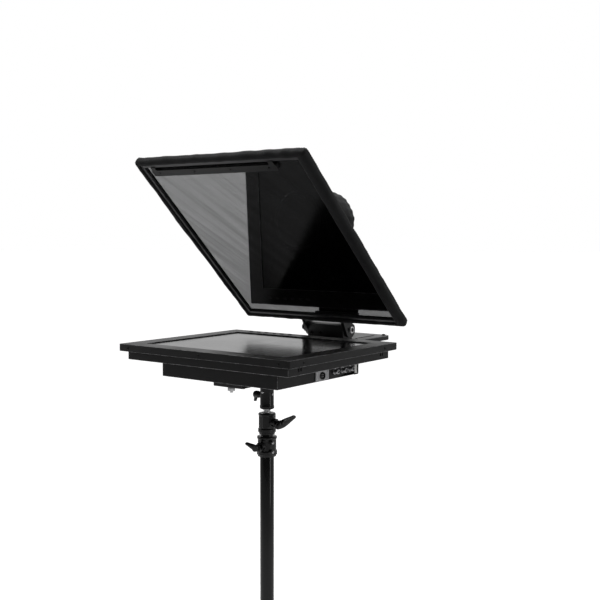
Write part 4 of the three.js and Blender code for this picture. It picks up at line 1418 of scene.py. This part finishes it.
def dress_hood(piece):
    """Adds what the simulation is too coarse for: folds at the neck, ridged seams and a puckered hem."""
    mesh = piece.data
    ways = [n.vector.copy() for n in mesh.vertex_normals]
    middle = sum((v.co for v in mesh.vertices), Vector()) / len(mesh.vertices)
    outward = 1.0 if sum((v.co - middle).dot(w) for v, w in zip(mesh.vertices, ways)) > 0 else -1.0
    seams = seam_columns()
    for i in range(HOOD_ROWS):
        back = max(0.0, (i - len(HEM_ROWS) + 1) / PANEL_ROWS)
        for k in range(HOOD_COLUMNS):
            vert = mesh.vertices[i * HOOD_COLUMNS + k]
            way = ways[i * HOOD_COLUMNS + k] * outward
            turn = 2 * math.pi * k / HOOD_COLUMNS
            folds = 1.5 * math.sin(17 * turn + 3 * noise.noise(Vector((k * 0.05, 0, 1)))) * back ** 3
            broad = 2.2 * noise.noise(vert.co * 16.0) * math.sin(math.pi * min(1.0, back * 1.05))
            tuck = 0.9 * noise.noise(vert.co * 42.0) + 0.6 * noise.noise(vert.co * 120.0)
            hem = tuck if i < len(HEM_ROWS) else 0.0
            ridge = 0.9 if any(abs(k - s) <= 0 for s in seams) and back > 0 else 0.0
            fade = 0.0 if i >= HOOD_ROWS - 1 else 1.0
            vert.co += way * ((folds * (1 - back ** 8) + broad + hem + ridge) * fade * MM)
    mesh.update()
    wall = piece.modifiers.new("cloth_thickness", "SOLIDIFY")
    wall.thickness = 1.3 * MM
    wall.offset = 0.0
    wall.use_even_offset = False


dress_hood(hood)


def path_on(piece, places, lift):
    """A polyline over a sheet, lifted off it along its normals. places are vertex numbers."""
    bm = bmesh.new()
    mesh = piece.data
    centre = Vector((0, 0.02, 1.22))
    spots = []
    for number in places:
        vert, way = mesh.vertices[number], mesh.vertex_normals[number].vector
        side = 1.0 if (vert.co - centre).dot(way) > 0 else -1.0
        spots.append(bm.verts.new(vert.co + way * side * lift))
    for a, b in zip(spots, spots[1:]):
        bm.edges.new((a, b))
    return bm


def hood_stitches():
    lines = []
    for column in seam_columns():
        for offset in (-1, 1):
            lines.append([i * HOOD_COLUMNS + column + offset for i in range(len(HEM_ROWS), HOOD_ROWS - 1)])
    for row in (1, len(HEM_ROWS) - 1):
        lines.append([row * HOOD_COLUMNS + k % HOOD_COLUMNS for k in range(HOOD_COLUMNS + 1)])
    base = merged([path_on(hood, line, 0.75 * MM) for line in lines])
    values = {"Pitch": 5.5 * MM, "Material": thread}
    return grown("hood_stitching", base, STITCHES, **values)


hood_thread = hood_stitches()
fix(hood, "glass_frame", "hood_cloth", hood_cloth, "hood")
fix(hood_thread, "glass_frame", "hood_cloth", thread)
settle(hood)
print("hood has", len(hood.data.polygons), "faces")

# %% [markdown]
# ## The lens sleeve
# Behind the ring the sleeve closes round the lens. It is a tube of the same cloth, whose end is
# gathered by an elastic hem, so the pleats deepen towards the end. A tube with pleats is a rule,
# not a drape, so its radius is written as a formula: a soft bulge, slack buckles and the gathers.

# %% Sleeve sheet
SLEEVE_COLUMNS, SLEEVE_ROWS = 192, 44
SLEEVE_RUN = [(0.4, 65.8), (25, 68.5), (60, 70.5), (95, 70.3), (118, 66), (130, 55), (136, 43), (138, 33.6)]


def sleeve_radius(t):
    """(distance behind the ring, radius) at t from 0 to 1 along the sleeve's profile, in mm."""
    lengths = [0.0]
    for (a, ra), (b, rb) in zip(SLEEVE_RUN, SLEEVE_RUN[1:]):
        lengths.append(lengths[-1] + math.hypot(b - a, rb - ra))
    at = t * lengths[-1]
    for i, (low, high) in enumerate(zip(lengths, lengths[1:])):
        if at <= high or i == len(lengths) - 2:
            share = (at - low) / (high - low)
            (a, ra), (b, rb) = SLEEVE_RUN[i], SLEEVE_RUN[i + 1]
            return a + (b - a) * share, ra + (rb - ra) * share
    return SLEEVE_RUN[-1]


def sleeve_rows():
    rows = []
    for i in range(SLEEVE_ROWS + 1):
        t = i / SLEEVE_ROWS
        y, radius = sleeve_radius(t)
        row = []
        for k in range(SLEEVE_COLUMNS):
            turn = 2 * math.pi * k / SLEEVE_COLUMNS
            unit = Vector((math.sin(turn), 0, -math.cos(turn)))
            gather = 1.9 * math.sin(24 * turn + 0.6 * math.sin(3 * turn)) * max(0.0, (t - 0.45) / 0.55) ** 1.4
            start = 0.8 * math.sin(40 * turn) * max(0.0, 1 - t / 0.12)
            swell = math.sin(math.pi * min(1, t * 1.15)) ** 0.8
            slack = (3.4 * noise.noise(unit * 1.7 + Vector((0, t * 3.2, 0)))
                     + 1.4 * noise.noise(unit * 5.0 + Vector((0, t * 6.0, 4)))) * swell
            sink = -2.4 * math.sin(math.pi * min(1.0, t)) * max(0.0, math.cos(turn) * -1)
            spread = (radius + gather + start + slack + sink) * MM
            row.append(Vector((0, neck_centre.y + (y + 0.6) * MM, neck_centre.z)) + unit * spread)
        rows.append(row)
    return rows


sleeve, sleeve_length, sleeve_girth = sheet_from_rows("lens_sleeve_sheet", sleeve_rows())


def finish_sleeve():
    lines = [[row * SLEEVE_COLUMNS + k % SLEEVE_COLUMNS for k in range(SLEEVE_COLUMNS + 1)]
             for row in (2, 4, SLEEVE_ROWS - 3)]
    seam = [i * SLEEVE_COLUMNS + SLEEVE_COLUMNS // 2 for i in range(4, SLEEVE_ROWS - 3)]
    spots = []
    for line in [*lines, seam]:
        bm = bmesh.new()
        verts = []
        for number in line:
            place = sleeve.data.vertices[number].co
            out = (place - Vector((0, place.y, neck_centre.z))).normalized()
            verts.append(bm.verts.new(place + out * 0.75 * MM))
        for a, b in zip(verts, verts[1:]):
            bm.edges.new((a, b))
        spots.append(bm)
    stitches = grown("sleeve_stitching", merged(spots), STITCHES, Pitch=5.5 * MM, Material=thread)
    elastic_rows = []
    y, radius = sleeve_radius(1.0)
    for k in range(96):
        turn = 2 * math.pi * k / 96
        pucker = 0.7 * math.sin(24 * turn)
        centre = Vector((math.sin(turn) * (radius + pucker) * MM, neck_centre.y + (y + 0.8) * MM,
                         neck_centre.z - math.cos(turn) * (radius + pucker) * MM))
        out = Vector((math.sin(turn), 0, -math.cos(turn)))
        elastic_rows.append([centre + (out * math.cos(a) + Vector((0, math.sin(a), 0))) * 2.3 * MM
                             for a in (2 * math.pi * i / 12 for i in range(12))])
    hem = skin(elastic_rows, closed=True)
    shade(hem, 60)
    hem_piece = new_object("sleeve_elastic_hem", hem)
    uv = hem_piece.data.uv_layers.new(name="cloth")
    for loop in hem_piece.data.loops:
        place = hem_piece.data.vertices[loop.vertex_index].co
        uv.data[loop.index].uv = (math.atan2(place.x, place.z - neck_centre.z) * 0.033, place.y)
    wall = sleeve.modifiers.new("cloth_thickness", "SOLIDIFY")
    wall.thickness = 1.3 * MM
    wall.offset = 0.0
    settle(sleeve)
    fix(sleeve, "glass_frame", "hood_cloth", hood_cloth, "lens_sleeve")
    fix(stitches, "glass_frame", "hood_cloth", thread)
    fix(hem_piece, "glass_frame", "hood_cloth", hood_cloth)


finish_sleeve()
print("sleeve cut", round(sleeve_girth, 3), "x", round(sleeve_length, 3), "m")

# %% Ring and stays


def ring_and_stays():
    low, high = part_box("neck_ring")
    outer, inner = high.x, high.x - 4 * MM
    profile = rounded([(inner, 0), (outer, 0), (outer, 9 * MM), (inner, 9 * MM)], 0.8 * MM, True)
    ring = turned(profile, 96, closed=True)
    grip_ring = grown("ring_ribs", bmesh.new(), RIBS, **{
        "Count": 90, "Ring Radius": inner, "Rib Radius": 0.5 * MM, "Rib Length": 6 * MM,
        "Material": plastic})
    grip_ring.data.transform(Matrix.Translation((0, 0, 4.5 * MM)))
    turn = Matrix.Translation((0, low.y, neck_centre.z)) @ Matrix.Rotation(math.radians(-90), 4, "X")
    ring.transform(turn)
    grip_ring.data.transform(turn)
    fix(new_object("neck_ring_hoop", ring), "glass_frame", "button_plastic", plastic, "neck_ring")
    fix(grip_ring, "glass_frame", "button_plastic", plastic)
    for label, side in (("left", -1), ("right", 1)):
        foot = frame_point(side * 110 * MM, FRAME_HEIGHT - 34 * MM, FRAME_DEPTH + 3 * MM)
        head = Vector((side * 29.25 * MM, neck_centre.y - 13.2 * MM, neck_centre.z + 50.0 * MM))
        rod = pipe(foot, head, 2.5 * MM, 0, 1.2 * MM, 24)
        fix(new_object(f"{label}_stay_rod", rod), "glass_frame", "button_plastic", plastic,
            f"hood_stay_{label}")


ring_and_stays()

# %% [markdown]
# ## Tilt bracket and base plate
# A block on the grey base plate carries the leaf that holds the glass frame. A cross pin with a
# bright socket head clamps it, and a small lever on the other end does the clamping.

# %% Bracket
block_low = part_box("tilt_block")[0]
plate_box_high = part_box("base_plate")[1]
pin_low, pin_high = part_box("tilt_pin")
pivot_y, pivot_z = (pin_low.y + pin_high.y) / 2, (pin_low.z + pin_high.z) / 2


def bracket():
    machined("rear_link_bracket", "link_casting", 1.2 * MM, "cast_black", casting, segments=2)
    plate = new_object("camera_base_plate", soften(bench_copy("base_plate"), 1.3 * MM, segments=2, turn=50))
    rows = Matrix.Translation((0, 340 * MM, plate_box_high.z))
    carve(plate, slot_cutter(rows, 2, 1, (60 * MM, 0), (7 * MM, 70 * MM, 30 * MM)))
    fix(plate, "head", "grey_aluminium", grey_plate, "base_plate")
    machined("tilt_block", "tilt_block_casting", 1.0 * MM, "cast_black", casting, segments=2,
             where=longer(6 * MM))
    machined("tilt_leaf", "tilt_leaf_plate", 0.8 * MM, "cast_black", casting, where=longer(5 * MM))
    head = pin_high.x
    shaft = pipe((pin_low.x, 0, 0), (head - 4.5 * MM, 0, 0), 5 * MM, 0, 0.5 * MM, 32)
    cap = turned(rounded([(0, -4.6 * MM), (7.6 * MM, -4.6 * MM), (7.6 * MM, -0.8 * MM),
                          (7.0 * MM, 0), (5.2 * MM, 0), (5.2 * MM, -3.4 * MM), (0, -3.4 * MM)],
                         0.3 * MM), 48)
    # Painted shade: a black disc sits in the bolt head's round recess, 1.2 mm below its face, standing for
    # the shade deep in the socket.
    socket = pipe((head - 3.3 * MM, pivot_y, pivot_z), (head - 1.2 * MM, pivot_y, pivot_z), 5.1 * MM)
    fix(new_object("tilt_pin_socket_shade", socket), "head", "bright_plate", black_screw)
    cap.transform(Matrix.Translation((head, 0, 0)) @ EAST)
    pin = merged([shaft, cap])
    pin.transform(Matrix.Translation((0, pivot_y, pivot_z)))
    fix(new_object("tilt_pin_bolt", pin), "head", "bright_plate", steel, "tilt_pin")
    up = (0, 0, 1)
    spots = [((x, y, plate_box_high.z), up) for x in (-45 * MM, 45 * MM) for y in (275 * MM, 395 * MM)]
    screws("base_plate_screws", "head", "bright_plate", black_screw, 4.5 * MM, 3 * MM, spots)
    front = [((x, block_low.y, pivot_z - 10 * MM), (0, -1, 0)) for x in (-40 * MM, -15 * MM)]
    screws("tilt_block_screws", "head", "bright_plate", black_screw, 3.4 * MM, 2 * MM, front)
    tip = lever_base + lever_way * 16.6 * MM  # the hub ends at 17 mm, so the cap sits on it
    button = pipe(tip, tip + lever_way * 2.6 * MM, 3.6 * MM, 0, 0.6 * MM, 32)
    fix(new_object("tilt_grip_cap", button), "tilt_lever", "bright_plate", steel)


bracket()

# %% [markdown]
# ## The floor
# A wide pale floor, which isn't part of the object, catches the soft shadow under the feet.

# %% Floor
FLOOR_GLOW = 0.8  # lifts the floor to the white of the room, only where it is seen directly


def pale_floor():
    bm = bmesh.new()
    bmesh.ops.create_circle(bm, cap_ends=True, radius=60.0, segments=96)
    bm.transform(Matrix.Translation((0, 0, -0.5 * MM)))
    floor = new_object("pale_floor", bm)
    material, tree, shader, place = start_finish("pale_floor", 0.9, Specular_IOR_Level=0.1)
    shader.inputs["Emission Color"].default_value = (1.0, 1.0, 1.0, 1.0)
    seen = tree.nodes.new("ShaderNodeLightPath")
    tree.links.new(math_node(tree, "MULTIPLY", seen.outputs["Is Camera Ray"], FLOOR_GLOW),
                   shader.inputs["Emission Strength"])
    tone = noise_node(tree, place.outputs["Object"], 1.5, 3.0)
    tree.links.new(blend_colour(tree, tone, (0.90, 0.90, 0.90), (0.94, 0.94, 0.94)),
                   shader.inputs["Base Color"])
    floor.data.materials.append(material)


pale_floor()
